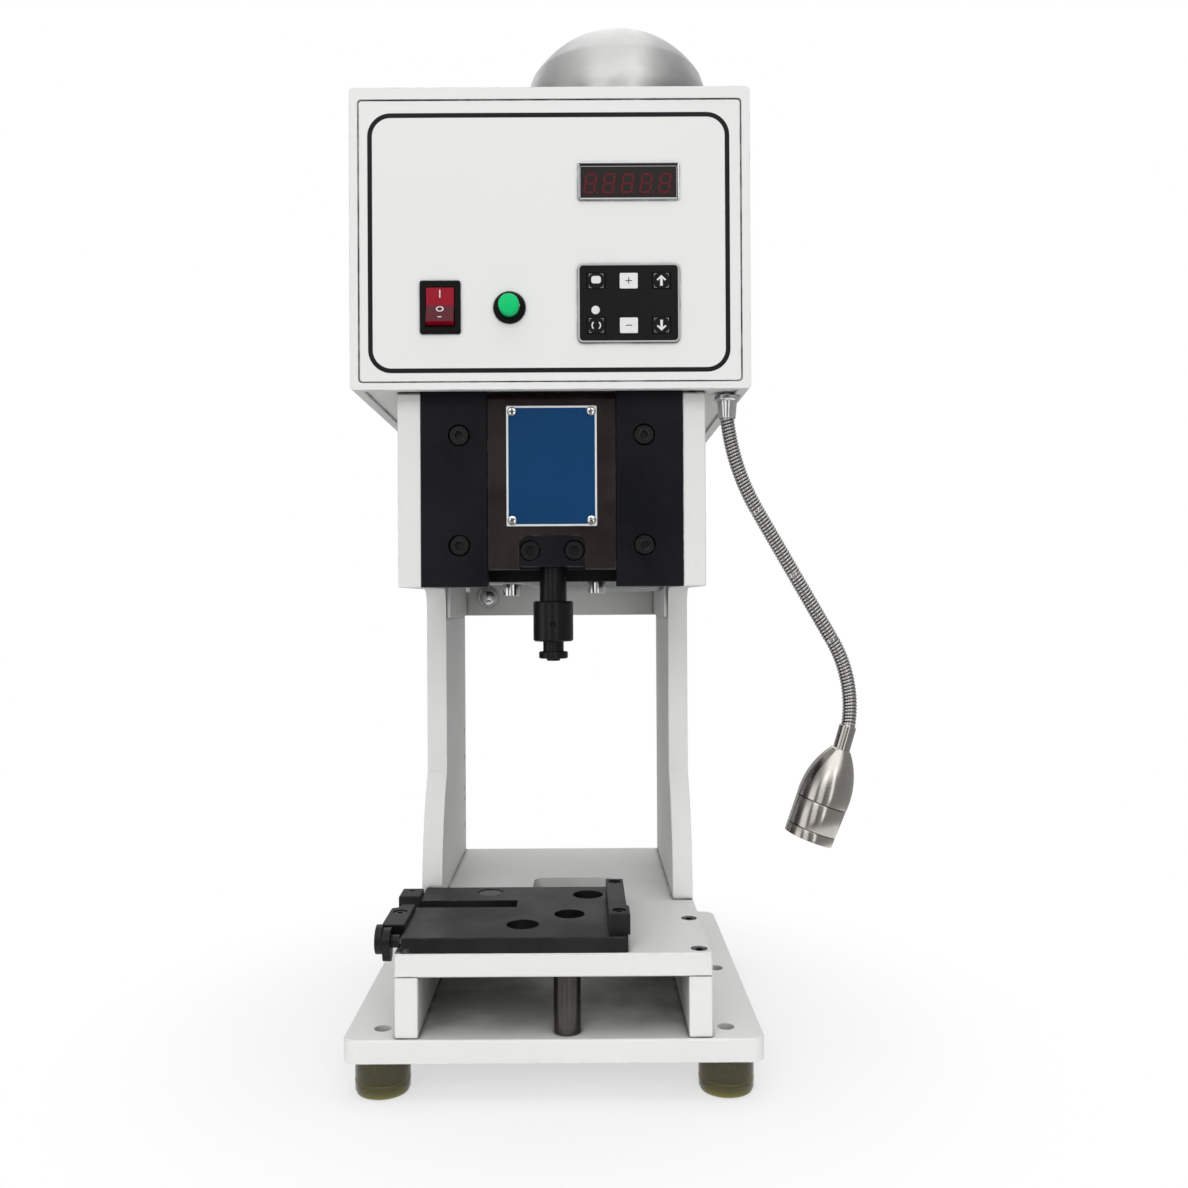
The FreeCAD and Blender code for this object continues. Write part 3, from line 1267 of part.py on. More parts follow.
def build_applicator_plate():
    """Black plate that takes the applicator, with its stop rail, clamp blocks and cam lever."""
    left, right = -size("plate_left"), size("plate_right")
    front, back = -size("plate_front"), PLATE_BACK_EDGE
    body = new_body("applicator_plate")
    slot_low = size("slot_front")
    slot_high = slot_low + size("slot_width")
    pad(body, "z", TABLE_TOP, 0, lambda sketch: outline(sketch, [
        (left, front), (right, front), (right, back), (left, back), (left, slot_high),
        (left + size("slot_length"), slot_high), (left + size("slot_length"), slot_low),
        (left, slot_low)]))
    dress(body, "Chamfer", size("plate_edge"), lambda edge: at(edge, "y", front))
    pocket(body, "z", TABLE_TOP, 0, lambda sketch: [
        circle(sketch, across, place, diameter / 2) for across, place, diameter in PLATE_HOLES])
    pocket(body, "z", -2.0, 0, lambda sketch: circle(sketch, *STOP_PLACE, STOP_DIAMETER / 2))
    pocket(body, "z", TABLE_TOP, TABLE_TOP + 3, lambda sketch: circle(
        sketch, -BOLT_SIDE, TABLE_FRONT + 9.0, 8.0))
    pivot_level = -size("clamp_shaft_drop")
    pivot_place = -size("clamp_shaft_front")
    shaft = size("clamp_shaft_diameter") / 2
    pocket(body, "x", left, left + size("clamp_shaft_socket"), lambda sketch: circle(
        sketch, pivot_place, pivot_level, shaft + size("running_gap")))
    pocket(body, "z", RAIL_SCREW["floor"], 0, lambda sketch: [
        circle(sketch, across, place, RAIL_SCREW["shank"] / 2) for across, place in RAIL_SCREW["places"]])

    rail_left = right - size("stop_rail_width")
    rail_front = -size("stop_rail_front")
    rail_back = rail_front + size("stop_rail_length")
    rebate = -size("stop_rail_rebate")
    side_gap = size("seat_gap") / 2
    pocket(body, "z", rebate, 0, lambda sketch: rectangle(
        sketch, rail_left - side_gap, rail_front - side_gap, right, rail_back + side_gap))
    body = new_body("stop_rail")
    pad(body, "z", rebate, size("stop_rail_height"), lambda sketch: outline(sketch, [
        (rail_left, rail_front), (right + size("stop_block_overhang"), rail_front),
        (right + size("stop_block_overhang"), rail_front + size("stop_block_length")),
        (right, rail_front + size("stop_block_length")), (right, rail_front + size("stop_rail_length")),
        (rail_left, rail_front + size("stop_rail_length"))]))
    dress(body, "Chamfer", size("plate_edge"), lambda edge: at(edge, "z", size("stop_rail_height")))
    pocket(body, "z", size("stop_rail_height") - RAIL_SCREW["sink"], size("stop_rail_height"),
           lambda sketch: [circle(sketch, across, place, RAIL_SCREW["sink_diameter"] / 2)
                           for across, place in RAIL_SCREW["places"]])
    pocket(body, "z", rebate, size("stop_rail_height"), lambda sketch: [
        circle(sketch, across, place, RAIL_SCREW["shank"] / 2) for across, place in RAIL_SCREW["places"]])

    build_clamp(left, pivot_place, pivot_level, shaft)


PLATE_HOLES = ((-21.0, -14.0, 21.6), (9.8, 9.3, 21.0), (22.7, 57.6, 21.9))
STOP_PLACE = (-49.0, 65.0)
STOP_DIAMETER = 18.4
RAIL_SCREW = {
    "places": [(size("plate_right") - 6.2, 49.0 - size("stop_rail_front") + 31.0),
               (size("plate_right") - 5.2, 9.0 - size("stop_rail_front"))],
    "head": 8.5, "height": 5.0, "shank": 5.0, "socket": 4.0,
    "sink": 6.0, "sink_diameter": 9.0, "floor": -7.0,
}


def build_clamp(left, pivot_place, pivot_level, shaft):
    """Two clamp blocks on the plate's left edge, and the cam lever on its shaft."""
    low = TABLE_TOP + size("seat_gap") * 2
    top = size("clamp_height")
    outer = left - size("clamp_width")
    front_block = new_body("front_clamp_block")
    pad(front_block, "z", low, top, lambda sketch: outline(sketch, [
        (left, -26.0), (left, 21.0), (outer + 6, 21.0), (outer + 4, 14.0), (outer, 12.0), (outer, -26.0)]))
    dress(front_block, "Chamfer", size("plate_edge"), lambda edge: at(edge, "z", top))
    rear_block = new_body("rear_clamp_block")
    pad(rear_block, "z", low, top, lambda sketch: rectangle(sketch, outer, 41.0, left, 62.0))
    dress(rear_block, "Chamfer", size("plate_edge"), lambda edge: at(edge, "z", top))
    pocket(front_block, "z", top - CLAMP_SCREW["sink"], top, lambda sketch: circle(
        sketch, left - size("clamp_width") / 2, 3.0, CLAMP_SCREW["sink_diameter"] / 2))
    pocket(rear_block, "z", top - 5, top, lambda sketch: circle(
        sketch, left - size("clamp_width") / 2, 56.0, 1.6))
    gather("clamp_blocks", [front_block, rear_block])

    body = new_body("clamp_shaft")
    shaft_end = left - 1 - size("lever_thickness") - size("hub_disc_thickness") - 2.5
    spin(body, "x", (pivot_place, pivot_level), [
        (0, shaft_end), (shaft, shaft_end), (shaft, left + size("clamp_shaft_socket") - 0.5),
        (0, left + size("clamp_shaft_socket") - 0.5)])

    body = new_body("clamp_lever")
    hub = size("lever_up")
    tip = size("lever_tip")
    lever_right = left - 6.5
    lever_left = lever_right - size("lever_thickness")
    reach = size("lever_down") - tip
    pad(body, "x", lever_left, lever_right, lambda sketch: outline(sketch, [
        (pivot_place - hub, pivot_level), (pivot_place, pivot_level + hub, hub),
        (pivot_place + hub, pivot_level, hub), (pivot_place + tip, pivot_level - reach),
        (pivot_place, pivot_level - reach - tip, hub * 0 + tip),
        (pivot_place - tip, pivot_level - reach, tip)]))
    pad(body, "x", lever_left - size("hub_disc_thickness"), lever_left, lambda sketch: circle(
        sketch, pivot_place, pivot_level + size("hub_disc_rise"), size("hub_disc_radius")))
    pad(body, "x", lever_right, left - 1.0, lambda sketch: circle(
        sketch, pivot_place, pivot_level, shaft + 1.8))
    pocket(body, "x", lever_left - size("hub_disc_thickness"), left - 1.0, lambda sketch: circle(
        sketch, pivot_place, pivot_level, shaft))


CLAMP_SCREW = {"head": 8.5, "height": 5.0, "shank": 5.0, "socket": 4.0, "sink": 5.6, "sink_diameter": 9.4}


def build_screws():
    """Socket screws in the frame and head, bright bolts under the head, screws on the ram."""
    black = []
    for row, (across, place) in enumerate(TABLE_BOLT["places"], start=1):
        black.append(socket_screw(
            f"table_bolt_{row}", (across, place, TABLE_TOP - TABLE_BOLT["sink"]), "up", TABLE_BOLT["head"],
            TABLE_BOLT["height"], TABLE_BOLT["shank"], 8.5, TABLE_BOLT["socket"]))
    for side, word in ((-1, "left"), (1, "right")):
        for row, (across, level) in enumerate(GUIDE_SCREW["places"], start=1):
            black.append(socket_screw(
                f"guide_screw_{word}_{row}", (side * across, GUIDE_FRONT + GUIDE_SCREW["sink"], level),
                "front", GUIDE_SCREW["head"], GUIDE_SCREW["height"], GUIDE_SCREW["shank"],
                PLATE_FACE - GUIDE_FRONT - GUIDE_SCREW["sink"], GUIDE_SCREW["socket"]))
    for row, (across, place) in enumerate(RAIL_SCREW["places"], start=1):
        black.append(socket_screw(
            f"stop_rail_screw_{row}", (across, place, size("stop_rail_height") - RAIL_SCREW["sink"]), "up",
            RAIL_SCREW["head"], RAIL_SCREW["height"], RAIL_SCREW["shank"],
            size("stop_rail_height") - RAIL_SCREW["sink"] - RAIL_SCREW["floor"], RAIL_SCREW["socket"]))
    clamp_seat = (-size("plate_left") - size("clamp_width") / 2, 3.0, size("clamp_height") - CLAMP_SCREW["sink"])
    black.append(primitive("Cylinder", "clamp_screw", clamp_seat, "up", Radius=CLAMP_SCREW["head"] / 2,
                           Height=CLAMP_SCREW["height"]))
    black.append(primitive("Cylinder", "stop_pin", (*STOP_PLACE, -2.0), "up",
                           Radius=STOP_DIAMETER / 2 - 0.2, Height=1.5))
    group("socket_screws", black)

    bright = []
    for side, word in ((-1, "left"), (1, "right")):
        washer = size("cheek_thickness") / 2 if side < 0 else length(0)
        bright.append(socket_screw(
            f"head_bolt_{word}", (side * HEAD_BOLT["side"], HEAD_BOLT["place"], BEARING_PLATE_LOW - washer),
            "down", HEAD_BOLT["head"], HEAD_BOLT["height"], HEAD_BOLT["shank"],
            washer + HEAD_BOLT["reach"], HEAD_BOLT["socket"]))
    tie_face = TABLE_BACK - size("tie_thickness")
    dome = primitive("Sphere", "dome_ball", (-DOME_SIDE, tie_face - 1.5, DOME_LEVEL), "front", Radius=7.5)
    half = primitive("Box", "dome_trim", (-DOME_SIDE - 10, tie_face - 1.5, DOME_LEVEL - 10), "up",
                     Length=20.0, Width=20.0, Height=20.0)
    cap = DOC.addObject("Part::Cut", "dome_cap")
    cap.Base, cap.Tool = dome, half
    disc = primitive("Cylinder", "dome_disc", (-DOME_SIDE, tie_face, DOME_LEVEL), "front", Radius=9.0, Height=1.5)
    bolt = DOC.addObject("Part::Fuse", "dome_bolt")
    bolt.Base, bolt.Tool = cap, disc
    bright.append(bolt)
    group("bright_bolts", bright)

    body = new_body("sensor_bracket")
    thin = size("cheek_thickness") / 2
    pad(body, "y", PLATE_FACE + 8, PLATE_FACE + 22, lambda sketch: outline(sketch, [
        (-62.0, BEARING_PLATE_LOW), (-62.0, BEARING_PLATE_LOW - 7), (-62.0 + thin, BEARING_PLATE_LOW - 7),
        (-62.0 + thin, BEARING_PLATE_LOW - thin), (-20.0, BEARING_PLATE_LOW - thin),
        (-20.0, BEARING_PLATE_LOW)]))
    pocket(body, "z", BEARING_PLATE_LOW - thin, BEARING_PLATE_LOW, lambda sketch: circle(
        sketch, -HEAD_BOLT["side"], HEAD_BOLT["place"], HEAD_BOLT["shank"] / 2 + 0.3))

    on_ram = []
    for side, word in ((-1, "left"), (1, "right")):
        on_ram.append(socket_screw(
            f"holder_screw_{word}", (side * size("holder_screw_side"),
                                     RAM_FRONT + size("seat_gap") / 2 + HOLDER_SCREW["sink"], HOLDER_LEVEL),
            "front", HOLDER_SCREW["head"], HOLDER_SCREW["height"], HOLDER_SCREW["shank"],
            28.0, HOLDER_SCREW["socket"]))
        for row, level in enumerate((size("blue_low") + size("blue_screw_inset"),
                                     size("blue_low") + size("blue_height") - size("blue_screw_inset")), start=1):
            place = (side * (size("blue_width") / 2 - size("blue_screw_inset")),
                     RAM_FRONT - size("blue_thickness"), level)
            on_ram.append(primitive("Cone", f"blue_screw_{word}_{row}", place, "front",
                                    Radius1=size("blue_screw") / 2, Radius2=size("blue_screw") / 2 - 0.8,
                                    Height=0.9))
    group("ram_screws", on_ram)


def turn_of(angle):
    """Unit vector in the lamp's plane at an angle from straight down, towards +X when positive."""
    return Vector(math.sin(angle), 0, -math.cos(angle))


def neck_piece(start, heading, turn, radius, run):
    """One gooseneck piece: an arc of a turn, or a straight run when the turn is zero.

    Returns its solid, the point where it ends and the heading there.
    """
    thick = size("neck_diameter").value / 2
    gap = size("ball_gap").value
    section = Part.Face(Part.Wire(Part.makeCircle(thick, start, turn_of(heading))))
    if turn:
        side = 1 if turn > 0 else -1
        across = Vector(math.cos(heading), 0, math.sin(heading)) * side
        centre = start + across * radius
        solid = section.revolve(centre, Vector(0, -side, 0), math.degrees(abs(turn)))
        end = centre - Vector(math.cos(heading + turn), 0, math.sin(heading + turn)) * side * radius
    else:
        solid = section.extrude(turn_of(heading) * run)
        end = start + turn_of(heading) * run
    solid = solid.fuse(Part.makeSphere(thick, start)).removeSplitter()
    solid = solid.cut(Part.makeSphere(thick + gap, end))
    return solid, end, heading + turn


def build_lamp():
    """Gooseneck lamp: fitting under the box, four neck pieces, lamp body and lens."""
    place = (size("lamp_side"), -size("lamp_front"))
    ring = size("fitting_radius")
    low = size("fitting_low")
    thick = size("neck_diameter") / 2
    gap = size("ball_gap")
    body = new_body("neck_fitting")
    stem = FITTING_STEM
    spin(body, "z", place, [
        (0, low), (5.65, low), (6.65, BOX_LOW - 3.5), (ring - 1, BOX_LOW - 3.5), (ring, BOX_LOW - 2.5),
        (ring, BOX_LOW), (stem, BOX_LOW), (stem, FLOOR_HIGH), (7.5, FLOOR_HIGH), (7.5, FLOOR_HIGH + 4),
        (stem, FLOOR_HIGH + 4), (stem, FLOOR_HIGH + 9), (0, FLOOR_HIGH + 9)])
    spin(body, "z", place, [
        (0, low - 1), (thick + gap, low - 1), (thick + gap, low), (0, low + thick + gap, -(thick + gap))],
        cut=True)

    start = Vector(place[0].value, place[1].value, low.value)
    heading = math.radians(size("first_heading").value)
    first = math.radians(size("first_turn").value)
    second = -math.radians(size("second_turn").value)
    half = size("straight_length").value / 2
    runs = (("neck_upper", first, size("first_radius").value, 0.0), ("neck_middle", 0.0, 0.0, half),
            ("neck_lower", 0.0, 0.0, half), ("neck_end", second, size("second_radius").value, 0.0))
    for label, turn, radius, run in runs:
        solid, start, heading = neck_piece(start, heading, turn, radius, run)
        solid_node(label, solid)
    build_lamp_head(start, -math.radians(size("lamp_heading").value),
                    -math.radians(size("stem_heading").value))


def build_lamp_head(joint, heading, stem_heading):
    """Turned steel lamp body with its stem, and its lens, hung from a joint.

    The body tapers a little from its widest place to its end. The stem leans less than the body.
    """
    ball = size("neck_diameter").value / 2
    stem = size("lamp_stem_diameter").value / 2
    stem_end = size("lamp_stem").value
    shoulder = size("lamp_shoulder").value
    radius = size("lamp_radius").value
    groove = size("lamp_groove").value
    ogive_end = size("lamp_ogive").value
    barrel_end = ogive_end + groove + size("lamp_barrel").value
    ring_end = barrel_end + groove + size("lamp_ring").value
    taper = (radius - size("lamp_end_radius").value) / (ring_end - ogive_end)
    wall = 2.0
    lens_depth = 4.0
    lens_radius = size("lamp_end_radius").value - wall

    def rim(depth, sunk=0.0):
        """Point on the tapered outside at a depth below the top of the body."""
        return Vector(radius - taper * (depth - ogive_end) - sunk, 0, -depth)

    bulge = Vector(shoulder + (radius - shoulder) * 0.64, 0, -ogive_end * 0.33)
    corners = [
        rim(ogive_end), rim(ogive_end, groove), rim(ogive_end + groove, groove), rim(ogive_end + groove),
        rim(barrel_end), rim(barrel_end, groove), rim(barrel_end + groove, groove), rim(barrel_end + groove),
        rim(ring_end), Vector(lens_radius, 0, -ring_end), Vector(lens_radius, 0, lens_depth - ring_end),
        Vector(0, 0, lens_depth - ring_end), Vector(0, 0, 0)]
    edges = [Part.makeLine(Vector(0, 0, 0), Vector(shoulder, 0, 0)),
             Part.Arc(Vector(shoulder, 0, 0), bulge, rim(ogive_end)).toShape()]
    edges += [Part.makeLine(start, end) for start, end in zip(corners, corners[1:])]
    profile = Part.Face(Part.Wire(Part.__sortEdges__(edges)))
    body = profile.revolve(Vector(), Vector(0, 0, 1), 360)
    lens = Part.makeCylinder(lens_radius, 1.5, Vector(0, 0, lens_depth - ring_end - 1.5))
    down = turn_of(stem_heading)
    foot = joint + down * stem_end
    turn = FreeCAD.Placement(foot, FreeCAD.Rotation(Vector(0, 1, 0), -math.degrees(heading)))
    body = body.transformGeometry(turn.toMatrix())
    drop = size("lamp_stem_drop").value
    rod = Part.makeCylinder(stem, stem_end - drop + wall, joint + down * drop, down)
    body = body.fuse([rod, Part.makeSphere(ball, joint)]).removeSplitter()
    solid_node("lamp_body", body)
    solid_node("lamp_lens", lens.transformGeometry(turn.toMatrix()))


def check_and_write():
    """Stop on any failed object, then write one STEP file for each node."""
    DOC.recompute()
    for item in DOC.Objects:
        if "Invalid" in item.State or "Error" in item.State:
            raise RuntimeError(f"{item.Label} failed: {item.State}")
    os.makedirs("parts", exist_ok=True)
    for node in NODES:
        if node.Shape.isNull() or not node.Shape.isValid():
            raise RuntimeError(f"{node.Label} has no valid shape")
    for node in NODES:
        node.Shape.exportStep(f"parts/{node.Label}.step")
    print(len(NODES), "nodes written")


build_base()
build_frame()
build_head()
build_ram()
build_drive()
build_box()
build_controls()
build_applicator_plate()
build_lamp()
build_screws()
check_and_write()
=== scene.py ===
"""Looks of the terminal crimping machine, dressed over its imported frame.

The origin is where the ram axis meets the applicator plate, +X is to the operator's right, +Y is
away from the operator and +Z is up. Shapes are drawn in millimetres and kept in metres.
"""
from __future__ import annotations

import json
import logging
import math
from dataclasses import dataclass, field
from enum import Enum
from typing import Iterable

import bmesh
import bpy
from mathutils import Matrix, Vector

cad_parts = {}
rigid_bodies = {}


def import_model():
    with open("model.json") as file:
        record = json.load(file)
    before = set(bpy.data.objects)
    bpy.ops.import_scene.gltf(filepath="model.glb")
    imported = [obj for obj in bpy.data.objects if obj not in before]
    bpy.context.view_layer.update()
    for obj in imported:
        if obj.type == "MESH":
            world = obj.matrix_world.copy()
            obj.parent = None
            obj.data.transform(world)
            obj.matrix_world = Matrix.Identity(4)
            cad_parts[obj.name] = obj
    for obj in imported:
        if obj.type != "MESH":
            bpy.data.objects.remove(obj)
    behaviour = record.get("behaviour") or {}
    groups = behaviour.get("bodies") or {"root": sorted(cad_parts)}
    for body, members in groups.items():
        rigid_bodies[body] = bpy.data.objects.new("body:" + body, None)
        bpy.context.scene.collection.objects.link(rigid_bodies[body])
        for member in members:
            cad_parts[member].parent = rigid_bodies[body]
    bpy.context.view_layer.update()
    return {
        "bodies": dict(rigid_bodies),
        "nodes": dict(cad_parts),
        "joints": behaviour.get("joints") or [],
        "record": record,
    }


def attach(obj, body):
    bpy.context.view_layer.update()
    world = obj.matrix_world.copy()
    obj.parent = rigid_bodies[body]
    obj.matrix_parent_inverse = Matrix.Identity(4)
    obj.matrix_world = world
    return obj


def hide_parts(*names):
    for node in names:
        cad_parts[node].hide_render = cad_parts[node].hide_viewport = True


LOG = logging.getLogger("terminal_press")
MM = 0.001
# marks points and faces that get a painted shade colour: groove floors and the rocker's downward face
SHADE_MARK = "groove"
WHITE = (1.0, 1.0, 1.0)
Point = tuple[float, float]
Triple = tuple[float, float, float]
Mesh = bmesh.types.BMesh
Socket = bpy.types.NodeSocket


class Wear(Enum):
    """How much an edge has lost of its paint or blacking."""

    NONE = 0.0
    LIGHT = 0.45
    STRONG = 0.9


# Node trees

class Tree:
    """Adds and links the nodes of one material, world or node group."""

    def __init__(self, tree: bpy.types.NodeTree) -> None:
        """Start on a node tree."""
        self.tree = tree

    def give(self, into: Socket, value: object) -> None:
        """Link an input to a socket, or set it to a fixed value.

        Args:
            into: The input.
            value: A socket, a number, a vector or a colour of three channels.
        """
        if isinstance(value, Socket):
            self.tree.links.new(value, into)
        else:
            into.default_value = (*value, 1.0) if into.type == "RGBA" else value

    def add(self, kind: str, **values: object) -> bpy.types.Node:
        """Add a node, set its properties, and set or link its inputs.

        Args:
            kind: Blender's type name without the leading ShaderNode.
            values: Properties of the node, or inputs by name with underscores for spaces. Inputs that
                share a name go by number, such as _0.

        Returns:
            The new node.
        """
        node = self.tree.nodes.new(kind if kind.startswith("Node") else "ShaderNode" + kind)
        for key, value in values.items():
            if hasattr(node, key):
                setattr(node, key, value)
            else:
                number = key[1:].isdigit()
                self.give(node.inputs[int(key[1:]) if number else key.replace("_", " ")], value)
        return node

    def math(self, operation: str, first: object, second: object = 0.0, clamp: bool = False) -> Socket:
        """Add a Math node.

        Args:
            operation: Name of the operation.
            first: A socket or a number.
            second: A socket or a number.
            clamp: Whether the result is kept between 0 and 1.

        Returns:
            The node's output.
        """
        return self.add("Math", operation=operation, use_clamp=clamp, _0=first, _1=second).outputs[0]

    def noise(self, vector: Socket, scale: object, **values: float) -> Socket:
        """Add a noise texture.

        Args:
            vector: The coordinates.
            scale: A socket or a number.
            values: Other inputs, by name.

        Returns:
            Its grey value.
        """
        return self.add("TexNoise", Vector=vector, Scale=scale, **values).outputs["Fac"]

    def ranged(self, value: Socket, **values: object) -> Socket:
        """Map a number from one range to another.

        Args:
            value: The number.
            values: Inputs or properties of the Map Range node.

        Returns:
            The mapped number.
        """
        return self.add("MapRange", Value=value, **values).outputs["Result"]

    def mix(self, factor: Socket, first: object, second: object) -> Socket:
        """Mix two numbers, where a factor of 0 gives the first."""
        return self.add("Mix", data_type="FLOAT", _0=factor, _2=first, _3=second).outputs[0]

    def blend(self, factor: Socket, first: object, second: object) -> Socket:
        """Mix two colours, where a factor of 0 gives the first."""
        return self.add("Mix", data_type="RGBA", _0=factor, _6=first, _7=second).outputs[2]

    def rays(self, *kinds: str) -> Socket:
        """Tell rays of some kinds from all others.

        Args:
            kinds: Their names, such as Camera.

        Returns:
            1 for a ray of those kinds, else 0.
        """
        first, *others = (self.add("LightPath").outputs[f"Is {kind} Ray"] for kind in kinds)
        for other in others:
            first = self.math("ADD", first, other, clamp=True)
        return first

    def close(self, value: Socket) -> bpy.types.NodeTree:
        """End a node group with its one result and return the group."""
        self.add("NodeGroupOutput", _0=value)
        return self.tree


def new_group(name: str, **inputs: float) -> tuple[Tree, bpy.types.NodeOutputs]:
    """Start a node group that makes one number from a vector and some numbers.

    Args:
        name: Name of the group.
        inputs: Default value of each number, by name with underscores for spaces.

    Returns:
        The group's tree helper and the outputs of its input node.
    """
    group = bpy.data.node_groups.new(name, "ShaderNodeTree")
    group.interface.new_socket("Vector", in_out="INPUT", socket_type="NodeSocketVector")
    for label, value in inputs.items():
        socket = group.interface.new_socket(label.replace("_", " "), in_out="INPUT",
                                            socket_type="NodeSocketFloat")
        socket.default_value = value
    group.interface.new_socket("Result", in_out="OUTPUT", socket_type="NodeSocketFloat")
    tree = Tree(group)
    return tree, tree.add("NodeGroupInput").outputs


class Effects:
    """Node groups that several finishes share."""

    def __init__(self) -> None:
        """Build each group once."""
        self.wear = self._edge_wear()
        self.grain = self._stretched_grain()
        self.turned = self._turned_grain()
        self.dust = self._dust()
        # crease mask from ambient occlusion: grime with painted shade in seams, and painted shade in
        # closed-in spaces
        self.grime_and_shade = self._crease_shade_mask()

    @staticmethod
    def _edge_wear() -> bpy.types.NodeTree:
        """Mask the edges that rubbing has bared, broken up by noise.

        Returns:
            The group.
        """
        tree, start = new_group("edge_wear", Width=0.0012, Patch_Scale=90.0)
        rounded = tree.add("Bevel", samples=6, Radius=start["Width"]).outputs["Normal"]
        facing = tree.add("NewGeometry").outputs["Normal"]
        dot = tree.add("VectorMath", operation="DOT_PRODUCT", _0=rounded, _1=facing).outputs["Value"]
        edge = tree.math("MULTIPLY", tree.math("SUBTRACT", 1.0, dot), 9.0, clamp=True)
        patches = tree.noise(start["Vector"], start["Patch Scale"], Detail=4.0, Roughness=0.65)
        broken = tree.ranged(patches, From_Min=0.48, From_Max=0.62)
        return tree.close(tree.math("MULTIPLY", edge, broken, clamp=True))

    @staticmethod
    def _stretched_grain() -> bpy.types.NodeTree:
        """Draw fine lines that run one way, from coordinates that a Mapping node has stretched."""
        tree, start = new_group("stretched_grain", Scale=900.0)
        return tree.close(tree.noise(start["Vector"], start["Scale"], Detail=3.0, Roughness=0.6))

    @staticmethod
    def _turned_grain() -> bpy.types.NodeTree:
        """Draw lines round or along the Z axis, as turning or brushing leaves them.

        Returns:
            The group.
        """
        tree, start = new_group("turned_grain", Around=40.0, Along=300.0)
        parts = tree.add("SeparateXYZ", Vector=start["Vector"]).outputs
        angle = tree.math("ARCTAN2", parts["Y"], parts["X"])
        joined = tree.add("CombineXYZ", X=tree.math("MULTIPLY", angle, start["Around"]),
                          Y=tree.math("MULTIPLY", parts["Z"], start["Along"]))
        return tree.close(tree.noise(joined.outputs["Vector"], 1.0, Detail=3.0, Roughness=0.6))

    @staticmethod
    def _dust() -> bpy.types.NodeTree:
        """Mask soft clouds for handling marks and dust.

        Returns:
            The group.
        """
        tree, start = new_group("handling_marks", Scale=9.0, Sharpness=0.2)
        clouds = tree.noise(start["Vector"], start["Scale"], Detail=5.0, Roughness=0.6, Distortion=0.4)
        sharp = tree.math("DIVIDE", tree.math("SUBTRACT", clouds, 0.5), start["Sharpness"])
        return tree.close(tree.math("ADD", sharp, 0.5, clamp=True))

    @staticmethod
    def _crease_shade_mask() -> bpy.types.NodeTree:
        """Mask where surfaces meet or where a space is closed in, from ambient occlusion, broken up by noise;
        it gives grime with painted shade in seams and painted shade in closed-in spaces.

        Returns:
            The group.
        """
        tree, start = new_group("crease_grime_and_shade", Reach=0.003, Patch_Scale=60.0, Open=0.86, Closed=0.5)
        closeness = tree.add("AmbientOcclusion", samples=6, Distance=start["Reach"]).outputs["AO"]
        near = tree.ranged(closeness, From_Min=start["Open"], From_Max=start["Closed"])
        patches = tree.noise(start["Vector"], start["Patch Scale"], Detail=3.0, Roughness=0.7)
        broken = tree.ranged(patches, From_Min=0.30, From_Max=0.60, To_Min=0.35)
        return tree.close(tree.math("MULTIPLY", near, broken, clamp=True))


# Finishes

